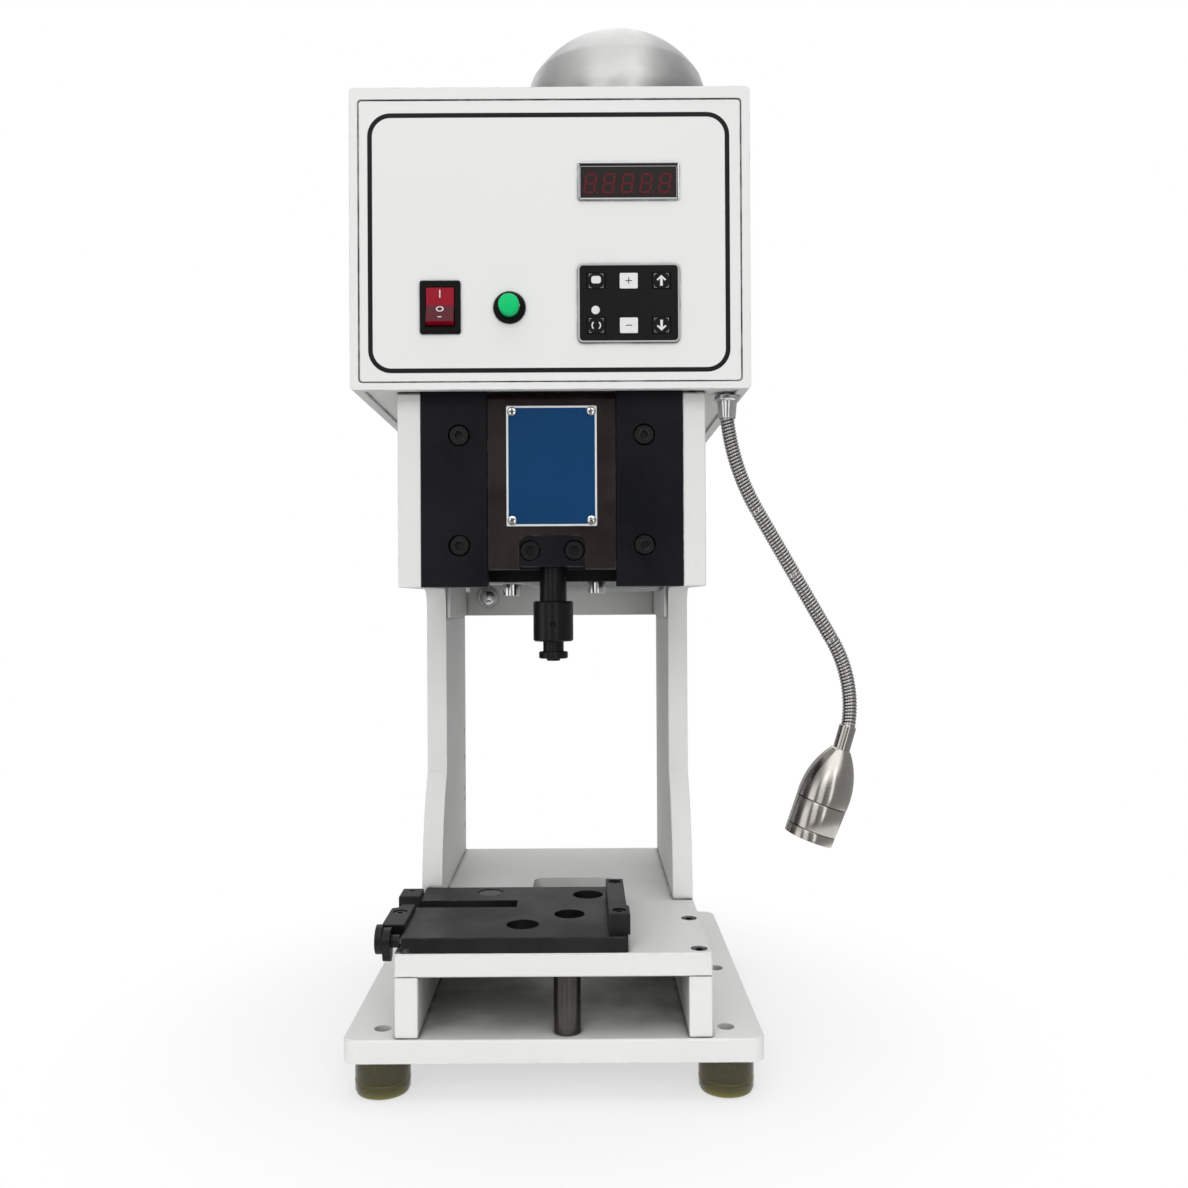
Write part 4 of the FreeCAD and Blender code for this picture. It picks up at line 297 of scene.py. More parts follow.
@dataclass(frozen=True)
class Finish:
    """A finish with a colour, marks of handling, a grain, worn edges and painted shade.

    Fields give the look of a new surface first, then what use has done to it. Some also paint shade: a dark
    colour where grooves and faces are marked, shade with grime in creases, and shade in closed-in spaces.
    """

    name: str
    colour: Triple
    roughness: float
    metallic: float = 0.0
    specular: float = 0.5
    grain_scale: float = 700.0
    grain_stretch: Triple = (1.0, 1.0, 1.0)
    grain_depth: float = 0.00002
    grain_tint: float = 0.0
    # painted shade colour for what the shade mark attribute marks: groove floors and the rocker's downward
    # face
    painted_shade_colour: Triple | None = None
    transmission: float = 0.0
    subsurface: float = 0.0
    subsurface_radius: Triple = (1.0, 0.3, 0.2)
    subsurface_depth: float = 0.004
    ior: float = 1.45
    turned: bool = False
    around: float = 40.0
    along: float = 300.0
    centre: Triple = (0.0, 0.0, 0.0)
    turn: Triple = (0.0, 0.0, 0.0)
    # glow strength; the dim display digits get a faint painted glow
    emission: float = 0.0
    stretch: float = 0.0
    stretch_axis: Triple = (0.02, 0.01, 1.0)
    absorb: float = 0.0
    absorb_colour: Triple = (0.5, 0.5, 0.5)
    mark_colour: Triple = (0.5, 0.5, 0.5)
    mark_scale: float = 9.0
    mark_amount: float = 0.0
    mark_roughness: float = 0.0
    wear: Wear = Wear.NONE
    wear_colour: Triple = (0.35, 0.34, 0.33)
    wear_width: float = 0.0012
    # grime and painted shade in seams and creases, from ambient occlusion over a few millimetres
    grime_and_shade: float = 0.0
    grime_and_shade_colour: Triple = (0.035, 0.033, 0.030)
    grime_and_shade_reach: float = 0.004
    # painted shade in closed-in spaces, such as under the table, from ambient occlusion over a long reach
    closed_in_shade: float = 0.0
    closed_in_shade_colour: Triple = (0.11, 0.11, 0.09)
    closed_in_shade_reach: float = 0.14

    def make(self, effects: Effects) -> bpy.types.Material:
        """Build the material.

        Args:
            effects: The shared node groups.

        Returns:
            The finished material.
        """
        material = bpy.data.materials.new(self.name)
        material.use_nodes = True
        tree = Tree(material.node_tree)
        shader = material.node_tree.nodes["Principled BSDF"]
        place = tree.add("TexCoord").outputs["Object"]
        height = self._grain(tree, effects, place)
        colour, roughness = self._layers(tree, effects, place, height)
        # darken what the shade mark attribute marks with a painted shade colour
        if self.painted_shade_colour:
            groove = tree.add("Attribute", attribute_name=SHADE_MARK).outputs["Fac"]
            colour = tree.blend(groove, colour, self.painted_shade_colour)
        values = {"Base Color": colour, "Roughness": roughness, "Metallic": self.metallic,
                  "Specular IOR Level": self.specular, "Transmission Weight": self.transmission,
                  "Subsurface Weight": self.subsurface, "Subsurface Radius": self.subsurface_radius,
                  "Subsurface Scale": self.subsurface_depth, "IOR": self.ior, "Anisotropic": self.stretch}
        if self.emission:
            values.update({"Emission Color": self.colour, "Emission Strength": self.emission})
        if self.stretch:
            axis = tree.add("VectorTransform", vector_type="VECTOR", convert_from="OBJECT",
                            convert_to="WORLD", Vector=self.stretch_axis)
            values["Tangent"] = axis.outputs["Vector"]
        if self.grain_depth:
            bump = tree.add("Bump", Strength=0.5, Distance=self.grain_depth, Height=height)
            values["Normal"] = bump.outputs["Normal"]
        for name, value in values.items():
            tree.give(shader.inputs[name], value)
        if self.absorb:
            inside = tree.add("VolumeAbsorption", Color=self.absorb_colour, Density=self.absorb)
            tree.give(material.node_tree.nodes["Material Output"].inputs["Volume"], inside.outputs["Volume"])
        return material

    def _layers(self, tree: Tree, effects: Effects, place: Socket, height: Socket) -> tuple[object, object]:
        """Lay grain, marks, wear, painted shade in closed-in spaces, and grime with painted shade in creases
        over the colour.

        Args:
            tree: The material's tree.
            effects: The shared node groups.
            place: The coordinates.
            height: Height of the grain.

        Returns:
            Colour and roughness, each a socket or a fixed value.
        """
        colour: object = self.colour
        roughness: object = self.roughness
        if self.grain_tint:
            tones = [tuple(min(channel * (1.0 + tint), 1.0) for channel in self.colour)
                     for tint in (-self.grain_tint, self.grain_tint)]
            colour = tree.blend(height, *tones)
        layers = (
            (self.mark_amount, effects.dust, {"Scale": self.mark_scale}, self.mark_colour),
            (self.wear.value, effects.wear, {"Width": self.wear_width}, self.wear_colour),
            # painted shade in closed-in spaces
            (self.closed_in_shade, effects.grime_and_shade, {"Reach": self.closed_in_shade_reach, "Patch_Scale": 12.0, "Open": 0.50,
                                       "Closed": 0.10}, self.closed_in_shade_colour),
            # grime and painted shade in creases
            (self.grime_and_shade, effects.grime_and_shade, {"Reach": self.grime_and_shade_reach}, self.grime_and_shade_colour))
        for amount, group, values, tone in layers:
            if amount:
                mask = tree.add("Group", node_tree=group, Vector=place, **values).outputs[0]
                colour = tree.blend(tree.math("MULTIPLY", mask, amount), colour, tone)
                if group is effects.dust:
                    rise = tree.math("MULTIPLY", mask, self.mark_roughness)
                    roughness = tree.math("ADD", self.roughness, rise, clamp=True)
        return colour, roughness

    def _grain(self, tree: Tree, effects: Effects, place: Socket) -> Socket:
        """Add the grain.

        Args:
            tree: The material's tree.
            effects: The shared node groups.
            place: The coordinates.

        Returns:
            Its height.
        """
        if self.turned:
            mapping = tree.add("Mapping", vector_type="TEXTURE", Vector=place, Location=self.centre,
                               Rotation=self.turn)
            values = {"node_tree": effects.turned, "Around": self.around, "Along": self.along}
        else:
            mapping = tree.add("Mapping", vector_type="POINT", Vector=place, Scale=self.grain_stretch)
            values = {"node_tree": effects.grain, "Scale": self.grain_scale}
        return tree.add("Group", **values, Vector=mapping.outputs["Vector"]).outputs[0]


@dataclass(frozen=True)
class Run:
    """One length of the gooseneck's centre line, straight or bent, in millimetres and radians."""

    node: str
    turn: float = 0.0
    bend: float = 0.0
    straight: float = 50.0

    @property
    def length(self) -> float:
        """Length along the centre line."""
        return abs(self.turn) * self.bend if self.turn else self.straight

    def after(self, place: Triple, run: float) -> Triple:
        """Find the place at a distance along this length.

        Args:
            place: x, z and heading of its upper end. Headings are taken from straight down towards +X.
            run: The distance.

        Returns:
            x, z and heading there.
        """
        x, z, heading = place
        if not self.turn:
            return x + run * math.sin(heading), z - run * math.cos(heading), heading
        side = math.copysign(1.0, self.turn)
        part = heading + side * run / self.bend
        return (x + side * self.bend * (math.cos(heading) - math.cos(part)),
                z + side * self.bend * (math.sin(heading) - math.sin(part)), part)


def neck_end() -> Vector:
    """Follow the gooseneck's centre line to its lower end.

    Returns:
        The end, in metres.
    """
    place = NECK_START
    for run in NECK_RUNS:
        place = run.after(place, run.length)
    return Vector((place[0], NECK_DEPTH, place[1])) * MM


NECK_START = (117.3, 336.0, math.radians(6.0))
NECK_DEPTH = -9.0
NECK_RUNS = (Run("neck_upper", math.radians(23.7), 157.0), Run("neck_middle"), Run("neck_lower"),
             Run("neck_end", math.radians(-38.5), 88.5))
NECK_END = neck_end()
STEM = 16.6
STEM_TILT = math.radians(16.5)
LAMP_TILT = math.radians(21.0)
LAMP_FOOT = NECK_END - STEM * MM * Vector((math.sin(STEM_TILT), 0.0, math.cos(STEM_TILT)))

FINISHES = [
    # the powder coat gets grime and painted shade in creases, and painted shade in closed-in spaces
    Finish("white_powder_coat", (0.77, 0.77, 0.76), 0.36, grain_scale=420.0, grain_depth=0.00006,
           mark_colour=(0.62, 0.615, 0.60), mark_scale=7.0, mark_amount=0.18, mark_roughness=0.12,
           wear=Wear.LIGHT, wear_colour=(0.20, 0.195, 0.19), wear_width=0.0011, grime_and_shade=0.92, closed_in_shade=0.85),
    # the box paint gets grime and painted shade in its seams
    Finish("white_box_paint", (0.80, 0.80, 0.79), 0.42, grain_scale=520.0, grain_depth=0.00004,
           mark_colour=(0.72, 0.715, 0.70), mark_scale=5.0, mark_amount=0.10, mark_roughness=0.1,
           wear=Wear.STRONG, wear_colour=(0.28, 0.275, 0.265), wear_width=0.0008, grime_and_shade=0.92,
           grime_and_shade_reach=0.003),
    Finish("black_oxide", (0.0050, 0.0052, 0.0062), 0.36, specular=0.26, grain_scale=300.0,
           grain_stretch=(0.08, 1.0, 1.0), grain_tint=0.25, mark_colour=(0.024, 0.024, 0.026),
           mark_scale=14.0, mark_amount=0.35, mark_roughness=0.14, wear=Wear.LIGHT,
           wear_colour=(0.14, 0.14, 0.145), wear_width=0.0008),
    Finish("black_guides", (0.0042, 0.0046, 0.0066), 0.26, specular=0.18, grain_scale=300.0,
           grain_stretch=(1.0, 1.0, 0.08), grain_tint=0.2, mark_colour=(0.010, 0.010, 0.012),
           mark_scale=16.0, mark_amount=0.4, mark_roughness=0.10, wear=Wear.LIGHT,
           wear_colour=(0.09, 0.09, 0.10), wear_width=0.0006),
    Finish("ram_brown", (0.0125, 0.0080, 0.0075), 0.30, specular=0.22, grain_scale=260.0,
           grain_stretch=(1.0, 1.0, 0.05), grain_tint=0.3, mark_colour=(0.034, 0.025, 0.022),
           mark_scale=26.0, mark_amount=0.35, mark_roughness=0.15, wear=Wear.STRONG,
           wear_colour=(0.18, 0.15, 0.13), wear_width=0.0009),
    Finish("black_screws", (0.0060, 0.0060, 0.0068), 0.22, specular=0.45, grain_depth=0.00003,
           grain_tint=0.2, wear=Wear.STRONG, wear_colour=(0.12, 0.12, 0.125), wear_width=0.0005),
    Finish("black_tools", (0.0055, 0.0055, 0.0062), 0.30, specular=0.30, grain_depth=0.00003,
           grain_tint=0.2, wear=Wear.LIGHT, wear_colour=(0.10, 0.10, 0.10), wear_width=0.0004),
    # bright steel gets grime and painted shade round its heads
    Finish("bright_steel", (0.76, 0.76, 0.77), 0.12, metallic=1.0, grain_scale=900.0, grain_tint=0.12,
           grime_and_shade=0.9, grime_and_shade_reach=0.002),
    Finish("zinc_plate", (0.62, 0.61, 0.58), 0.30, metallic=1.0, grain_scale=400.0, grain_depth=0.00003,
           grain_tint=0.1, mark_colour=(0.45, 0.44, 0.41), mark_scale=60.0, mark_amount=0.5),
    Finish("pillar_steel", (0.085, 0.079, 0.077), 0.26, metallic=1.0, stretch=0.85, turned=True,
           around=30.0, along=60.0, centre=(0.0086, -0.031, 0.0), grain_tint=0.35,
           mark_colour=(0.05, 0.046, 0.044), mark_scale=40.0, mark_amount=0.4, mark_roughness=0.12),
    Finish("blue_enamel", (0.002, 0.046, 0.140), 0.36, specular=0.12, grain_scale=1600.0,
           grain_depth=0.00001, grain_tint=0.16, mark_colour=(0.002, 0.036, 0.112), mark_scale=25.0,
           mark_amount=0.35),
    Finish("plate_border", (0.74, 0.75, 0.76), 0.36, metallic=0.3, grain_depth=0.00001, grain_tint=0.08),
    Finish("cast_grey", (0.42, 0.43, 0.44), 0.55, metallic=0.4, grain_scale=350.0, grain_depth=0.00012,
           grain_tint=0.1),
    Finish("spun_steel", (0.52, 0.52, 0.515), 0.34, metallic=1.0, stretch=0.75, turned=True, around=3.0,
           along=1500.0, centre=(0.050, 0.155, 0.0), grain_tint=0.10, mark_colour=(0.46, 0.46, 0.455),
           mark_scale=12.0, mark_amount=0.3, mark_roughness=0.10),
    # the floors of the lamp's grooves get a painted shade colour
    Finish("lamp_steel", (0.54, 0.515, 0.475), 0.20, metallic=1.0, stretch=0.6,
           stretch_axis=(math.sin(LAMP_TILT), 0.01, math.cos(LAMP_TILT)), turned=True, around=3.0,
           along=2600.0, centre=tuple(LAMP_FOOT), turn=(0.0, LAMP_TILT, 0.0), grain_depth=0.00003,
           grain_tint=0.22, mark_colour=(0.46, 0.44, 0.42), mark_scale=30.0, mark_amount=0.3,
           painted_shade_colour=(0.02, 0.02, 0.02)),
    # the spiral groove gets a painted shade colour
    Finish("neck_steel", (0.62, 0.61, 0.60), 0.12, metallic=1.0, grain_scale=600.0, grain_depth=0.00001,
           grain_tint=0.1, painted_shade_colour=(0.008, 0.008, 0.008)),
    Finish("lamp_glass", (0.80, 0.84, 0.88), 0.12, transmission=0.6, grain_scale=160.0,
           grain_depth=0.0003),
    Finish("amber_urethane", (0.52, 0.48, 0.10), 0.06, specular=0.08, transmission=0.95, ior=1.5,
           grain_scale=90.0, grain_depth=0.00005, mark_colour=(0.40, 0.36, 0.08), mark_scale=35.0,
           mark_amount=0.4, absorb=170.0, absorb_colour=(0.34, 0.32, 0.02)),
    Finish("chrome_trim", (0.68, 0.69, 0.70), 0.12, metallic=1.0, grain_depth=0.00001, grain_tint=0.05),
    Finish("window_tint", (0.020, 0.014, 0.014), 0.14, specular=0.35, grain_depth=0.0, grain_tint=0.1),
    # the dim digits get a faint painted glow
    Finish("dim_digits_glow", (0.105, 0.013, 0.018), 0.45, specular=0.1, grain_depth=0.0, grain_scale=900.0,
           grain_tint=0.25, emission=0.10),
    Finish("keypad_black", (0.0075, 0.0075, 0.0085), 0.34, specular=0.15, grain_scale=900.0,
           grain_tint=0.2),
    Finish("keypad_edge", (0.46, 0.46, 0.47), 0.40, metallic=0.5, grain_depth=0.00001, grain_tint=0.05),
    Finish("key_white", (0.76, 0.76, 0.75), 0.4, grain_scale=900.0, grain_tint=0.03),
    Finish("black_plastic", (0.007, 0.007, 0.0075), 0.40, specular=0.09, grain_scale=1100.0,
           grain_tint=0.2),
    # the rocker's lower face gets a painted shade colour
    Finish("red_rocker", (0.31, 0.002, 0.018), 0.26, specular=0.3, subsurface=0.25, grain_scale=500.0,
           grain_tint=0.12, painted_shade_colour=(0.085, 0.002, 0.010)),
    Finish("green_cap", (0.001, 0.56, 0.165), 0.26, specular=0.2, subsurface=0.12,
           subsurface_radius=(0.2, 1.0, 0.4), grain_tint=0.05),
    Finish("line_black", (0.008, 0.008, 0.009), 0.45, specular=0.2, grain_scale=900.0,
           grain_depth=0.00001, grain_tint=0.1),
    Finish("mark_white", (0.72, 0.72, 0.72), 0.45, grain_scale=900.0, grain_depth=0.0, grain_tint=0.03),
    Finish("arrow_grey", (0.30, 0.31, 0.32), 0.45, grain_scale=900.0, grain_depth=0.0, grain_tint=0.08),
]


# Mesh tools

def at(x: float, y: float, z: float) -> Matrix:
    """Move by millimetres."""
    return Matrix.Translation(Vector((x, y, z)) * MM)


def facing_front(x: float, y: float, z: float) -> Matrix:
    """Place in millimetres a shape that is drawn in XY, with its top towards the operator."""
    return at(x, y, z) @ Matrix.Rotation(math.radians(90), 4, "X")


def placed(mesh: Mesh, place: Matrix) -> Mesh:
    """Move a mesh by a placement and return it."""
    mesh.transform(place)
    return mesh


def only(items: Iterable[object], kind: type) -> list:
    """Pick the points, edges or faces from a mixed list."""
    return [item for item in items if isinstance(item, kind)]


def merge(meshes: Iterable[Mesh]) -> Mesh:
    """Join several meshes into one and free them.

    Args:
        meshes: The meshes, in place.

    Returns:
        The joined mesh.
    """
    whole = bmesh.new()
    for mesh in meshes:
        held = bpy.data.meshes.new("held")
        mesh.to_mesh(held)
        mesh.free()
        whole.from_mesh(held)
        bpy.data.meshes.remove(held)
    return whole


def lathe(profile: list[Point], steps: int = 96, closed: bool = False) -> Mesh:
    """Spin a profile of (radius, height) points, in millimetres, about Z.

    Args:
        profile: The points in order.
        steps: Number of faces round the axis.
        closed: Whether the last point joins the first.

    Returns:
        The spun mesh.
    """
    mesh = bmesh.new()
    points = [mesh.verts.new((radius * MM, 0.0, height * MM)) for radius, height in profile]
    pairs = list(zip(points, points[1:]))
    if closed:
        pairs.append((points[-1], points[0]))
    edges = [mesh.edges.new(pair) for pair in pairs]
    bmesh.ops.spin(mesh, geom=[*points, *edges], cent=(0, 0, 0), axis=(0, 0, 1), dvec=(0, 0, 0),
                   angle=math.tau, steps=steps, use_merge=True)
    bmesh.ops.remove_doubles(mesh, verts=mesh.verts[:], dist=1e-7)
    bmesh.ops.recalc_face_normals(mesh, faces=mesh.faces[:])
    return mesh


def arc(start: Point, middle: Point, end: Point, steps: int) -> list[Point]:
    """Put points on the circular arc through three points, both ends included.

    Args:
        start: First point.
        middle: A point between the ends.
        end: Last point.
        steps: Number of chords.

    Returns:
        The points.
    """
    (ax, ay), (bx, by), (cx, cy) = start, middle, end
    double = 2.0 * (ax * (by - cy) + bx * (cy - ay) + cx * (ay - by))
    a, b, c = ax * ax + ay * ay, bx * bx + by * by, cx * cx + cy * cy
    x = (a * (by - cy) + b * (cy - ay) + c * (ay - by)) / double
    y = (a * (cx - bx) + b * (ax - cx) + c * (bx - ax)) / double
    radius = math.hypot(ax - x, ay - y)
    first, last = math.atan2(ay - y, ax - x), math.atan2(cy - y, cx - x)
    turn = math.remainder(last - first, math.tau)
    angles = [first + turn * step / steps for step in range(steps + 1)]
    return [(x + radius * math.cos(angle), y + radius * math.sin(angle)) for angle in angles]


def thicken(mesh: Mesh, thickness: float) -> Mesh:
    """Extrude the flat faces of a mesh upwards.

    Args:
        mesh: The mesh to change.
        thickness: Height in millimetres.

    Returns:
        The same mesh.
    """
    grown = bmesh.ops.extrude_face_region(mesh, geom=mesh.faces[:])["geom"]
    bmesh.ops.translate(mesh, verts=only(grown, bmesh.types.BMVert), vec=(0.0, 0.0, thickness * MM))
    bmesh.ops.recalc_face_normals(mesh, faces=mesh.faces[:])
    return mesh


def sheet(points: list[Point], thickness: float) -> Mesh:
    """Extrude an outline in XY upwards, in millimetres.

    Args:
        points: Corners of the outline.
        thickness: Height of the solid.

    Returns:
        The solid.
    """
    mesh = bmesh.new()
    mesh.faces.new([mesh.verts.new((x * MM, y * MM, 0.0)) for x, y in points])
    return thicken(mesh, thickness)


def strip(half_width: float, half_height: float, thickness: float) -> Mesh:
    """Make a thin block, centred in XY, from half of its sizes in millimetres."""
    x, y = half_width, half_height
    return sheet([(-x, -y), (x, -y), (x, y), (-x, y)], thickness)


def rounded_face(width: float, height: float, corner: float, steps: int = 8) -> Mesh:
    """Draw a flat rectangle with round corners, centred on the origin.

    Args:
        width: Size along X in millimetres.
        height: Size along Y in millimetres.
        corner: Corner radius in millimetres.
        steps: Segments in each corner.

    Returns:
        A mesh with one face.
    """
    mesh = bmesh.new()
    bmesh.ops.create_grid(mesh, x_segments=1, y_segments=1, size=0.5)
    bmesh.ops.scale(mesh, vec=(width * MM, height * MM, 1.0), verts=mesh.verts[:])
    bmesh.ops.bevel(mesh, geom=mesh.verts[:], offset=corner * MM, segments=steps, profile=0.5,
                    affect="VERTICES", material=-1)
    return mesh


def rounded_plate(width: float, height: float, corner: float, thickness: float) -> Mesh:
    """Make a flat plate with round corners, in millimetres, that stands on z = 0."""
    return thicken(rounded_face(width, height, corner), thickness)


def rounded_ring(width: float, height: float, corner: float, line: float, thickness: float) -> Mesh:
    """Make a rounded rectangular frame of an even width.

    Args:
        width: Outer size along X in millimetres.
        height: Outer size along Y in millimetres.
        corner: Outer corner radius in millimetres.
        line: Width of the frame in millimetres.
        thickness: Height of the frame in millimetres.

    Returns:
        The frame.
    """
    mesh = rounded_face(width, height, corner, 12)
    rim = bmesh.ops.inset_region(mesh, faces=mesh.faces[:], thickness=line * MM, use_boundary=True)["faces"]
    bmesh.ops.delete(mesh, geom=[face for face in mesh.faces if face not in rim], context="FACES")
    return thicken(mesh, thickness)


def soften(mesh: Mesh, width: float, segments: int = 2, angle: float = 30.0) -> Mesh:
    """Round the sharp edges of a mesh.

    Args:
        mesh: The mesh to change.
        width: Width of the rounding in millimetres.
        segments: Faces across the rounding.
        angle: Least angle in degrees between two faces that meet at a sharp edge.

    Returns:
        The same mesh.
    """
    limit = math.radians(angle)
    sharp = [edge for edge in mesh.edges if edge.is_manifold and edge.calc_face_angle() > limit]
    bmesh.ops.bevel(mesh, geom=sharp, offset=width * MM, segments=segments, profile=0.5, affect="EDGES",
                    material=-1, clamp_overlap=True)
    return mesh


def hexagon(across: float) -> list[Point]:
    """Find the corners of a hexagon with a given width across its flats."""
    radius = across / math.sqrt(3.0)
    return [(radius * math.cos(math.radians(60 * turn)), radius * math.sin(math.radians(60 * turn)))
            for turn in range(6)]


def cross(reach: float, arm: float) -> list[Point]:
    """Find the corners of a plus sign.

    Args:
        reach: Distance from its centre to the end of an arm.
        arm: Half of an arm's width.

    Returns:
        The twelve corners.
    """
    points: list[Point] = []
    for turn in range(4):
        cosine, sine = round(math.cos(math.pi / 2 * turn)), round(math.sin(math.pi / 2 * turn))
        points += [(x * cosine - y * sine, x * sine + y * cosine)
                   for x, y in ((reach, -arm), (reach, arm), (arm, arm))]
    return points


def recessed_head(profile: list[Point], recess: list[Point], depth: float) -> Mesh:
    """Make a screw head whose top has a recess with a given outline.

    Args:
        profile: (radius, height) points from the seat to the edge of the top, in millimetres.
        recess: Corners of the recess, 6 or 12 of them.
        depth: Depth of the recess.

    Returns:
        The head, open at its seat.
    """
    mesh = lathe(profile, 24)
    top = profile[-1][1] * MM
    rim = [edge for edge in mesh.edges if edge.is_boundary and all(
        abs(point.co.z - top) < 1e-7 for point in edge.verts)]
    corners = [mesh.verts.new((x * MM, y * MM, top)) for x, y in recess]
    sides = [mesh.edges.new((corners[index - 1], corners[index])) for index in range(len(corners))]
    cuts = 24 // len(corners) - 1
    split = bmesh.ops.subdivide_edges(mesh, edges=sides, cuts=cuts)["geom_split"]
    sides = list(set(only(split, bmesh.types.BMEdge)) | {
        edge for edge in mesh.edges if not edge.link_faces})
    bmesh.ops.bridge_loops(mesh, edges=[*rim, *sides])
    low = only(bmesh.ops.extrude_edge_only(mesh, edges=sides)["geom"], bmesh.types.BMVert)
    bmesh.ops.translate(mesh, verts=low, vec=(0.0, 0.0, -depth * MM))
    floor = [edge for edge in mesh.edges if edge.is_boundary and all(point in low for point in edge.verts)]
    bmesh.ops.holes_fill(mesh, edges=floor, sides=64)
    bmesh.ops.recalc_face_normals(mesh, faces=mesh.faces[:])
    return mesh


def socket_head(diameter: float, height: float, socket: float) -> Mesh:
    """Make the head of a socket screw, in millimetres, that stands on z = 0."""
    radius, edge = diameter / 2, diameter / 2 * 0.09
    return recessed_head([(0.0, 0.0), (radius, 0.0), (radius, height - edge), (radius - edge, height)],
                         hexagon(socket), height * 0.55)


def cross_head(diameter: float, height: float) -> Mesh:
    """Make a domed head with a cross recess, in millimetres, that stands on z = 0."""
    radius = diameter / 2
    return recessed_head([(0.0, 0.0), (radius, 0.0), (radius, height * 0.35), (radius * 0.86, height * 0.78),
                          (radius * 0.62, height)], cross(radius * 0.5, radius * 0.13), height * 0.6)


class Shop:
    """Makes the finished pieces and ties each to the body that carries it."""

    def __init__(self, frame: dict) -> None:
        """Prepare the finishes.
        """
        self.frame = frame
        effects = Effects()
        self.finishes = {finish.name: finish.make(effects) for finish in FINISHES}
        self.body_of = {node: body for body, nodes in frame["record"]["behaviour"]["bodies"].items()
                        for node in nodes}
        self.slot_of = {entry["node"]: entry["material_slot"] for entry in frame["record"]["subparts"]}

    def piece(self, name: str, mesh: Mesh, finish: str, node: str, replaces: tuple[str, ...] = (),
              smooth: float = 32.0) -> bpy.types.Object:
        """Turn a mesh into a finished piece.

        Args:
            name: Name of the piece.
            mesh: Its mesh, in metres and in place. It is freed.
            finish: Name of the finish.
            node: A CAD node on the same body.
            replaces: CAD nodes that the piece stands for.
            smooth: Greatest angle in degrees between faces that look like one surface.

        Returns:
            The new object.
        """
        data = bpy.data.meshes.new(name)
        mesh.to_mesh(data)
        mesh.free()
        data.materials.append(self.finishes[finish])
        data.shade_smooth()
        data.set_sharp_from_angle(angle=math.radians(smooth))
        piece = bpy.data.objects.new(name, data)
        bpy.context.scene.collection.objects.link(piece)
        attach(piece, self.body_of[node])
        if replaces:
            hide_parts(*replaces)
        LOG.info("%s rides on %s", name, self.body_of[node])
        return piece

    def dress(self, node: str, finish: str, edge: float, smooth: float = 32.0) -> bpy.types.Object:
        """Show a CAD node as a copy with rounded edges and smooth curves.

        Args:
            node: Name of the node.
            finish: Name of the finish.
            edge: Width of the rounding in millimetres, or 0 for none.
            smooth: Least angle in degrees of an edge that is rounded.

        Returns:
            The copy.
        """
        mesh = bmesh.new()
        mesh.from_mesh(self.frame["nodes"][node].data)
        bmesh.ops.remove_doubles(mesh, verts=mesh.verts[:], dist=1e-6)
        bmesh.ops.dissolve_limit(mesh, angle_limit=math.radians(0.3), verts=mesh.verts[:],
                                 edges=mesh.edges[:])
        piece = self.piece(node + "_dressed", mesh, finish, node, (node,), smooth)
        if edge:
            rounding = piece.modifiers.new("rounding", "BEVEL")
            rounding.width = edge * MM
            rounding.segments = 2
            rounding.limit_method = "ANGLE"
            rounding.angle_limit = math.radians(smooth)
            rounding.use_clamp_overlap = True
            flat = piece.modifiers.new("flat_faces", "WEIGHTED_NORMAL")
            flat.keep_sharp = True
        return piece

    def dress_each(self, finish: str, **edges: float) -> None:
        """Dress several CAD nodes with one finish.

        Args:
            finish: Name of the finish.
            edges: Width of the rounding in millimetres, or 0 for none, by node.
        """
        for node, edge in edges.items():
            self.dress(node, finish, edge)


# Sub-assemblies, with sizes in millimetres and angles in radians

@dataclass
class Assembly:
    """A group of pieces with its sizes."""

    shop: Shop


@dataclass
class Stand(Assembly):
    """Base plate, pads, rails, pillar and table."""

    pad_radius: float = 18.0
    pad_height: float = 25.0
    pad_places: tuple[Point, ...] = ((-112.0, -25.0), (112.0, -25.0), (-112.0, 215.0), (112.0, 215.0))
    base_low: float = -79.0
    pillar_place: Triple = (8.6, -31.0, -64.0)
    pillar_radius: float = 8.75
    pillar_height: float = 39.0

    def build(self) -> None:
        """Make the pieces of the stand."""
        self.shop.dress_each("white_powder_coat", base_plate=0.35, lower_rails=0.9, table_plate=0.5)
        for name, shape, finish, node in (("pads", self._pad, "amber_urethane", "feet"),
                                          ("pad_studs", self._stud, "zinc_plate", "foot_studs")):
            meshes = (placed(shape(), at(x, y, self.base_low)) for x, y in self.pad_places)
            self.shop.piece(name, merge(meshes), finish, node, (node,))
        radius, height = self.pillar_radius, self.pillar_height
        pillar = lathe([(0, 0), (radius, 0), (radius, height), (0, height)])
        self.shop.piece("pillar", placed(pillar, at(*self.pillar_place)), "pillar_steel",
                        "support_pillar", ("support_pillar",))

    def _pad(self) -> Mesh:
        """Make one pad with a rounded foot, a moulding line and a pocket for the nut.

        Returns:
            The pad, under z = 0.
        """
        radius, height = self.pad_radius, self.pad_height
        return lathe([(10.5, 0.0), (radius - 0.8, 0.0), (radius - 0.2, -0.7), (radius, -2.0),
                      (radius, -14.6), (radius - 0.5, -15.0), (radius - 0.5, -15.6), (radius, -16.0),
                      (radius, -height + 3.4), (radius - 1.0, -height + 1.0), (radius - 3.4, -height),
                      (0.0, -height), (0.0, -14.2), (5.1, -14.2), (5.1, -5.2), (10.5, -5.2)], 96, closed=True)

    @staticmethod
    def _stud() -> Mesh:
        """Make a stud with its washer and nut."""
        return lathe([(0.0, -14.0), (4.6, -14.0), (5.0, -13.4), (5.0, -5.0), (9.0, -5.0), (9.6, -4.4),
                      (9.6, -1.4), (10.2, -1.4), (10.2, -0.05), (5.0, -0.05), (5.0, 9.0), (0.0, 9.0)], 48)


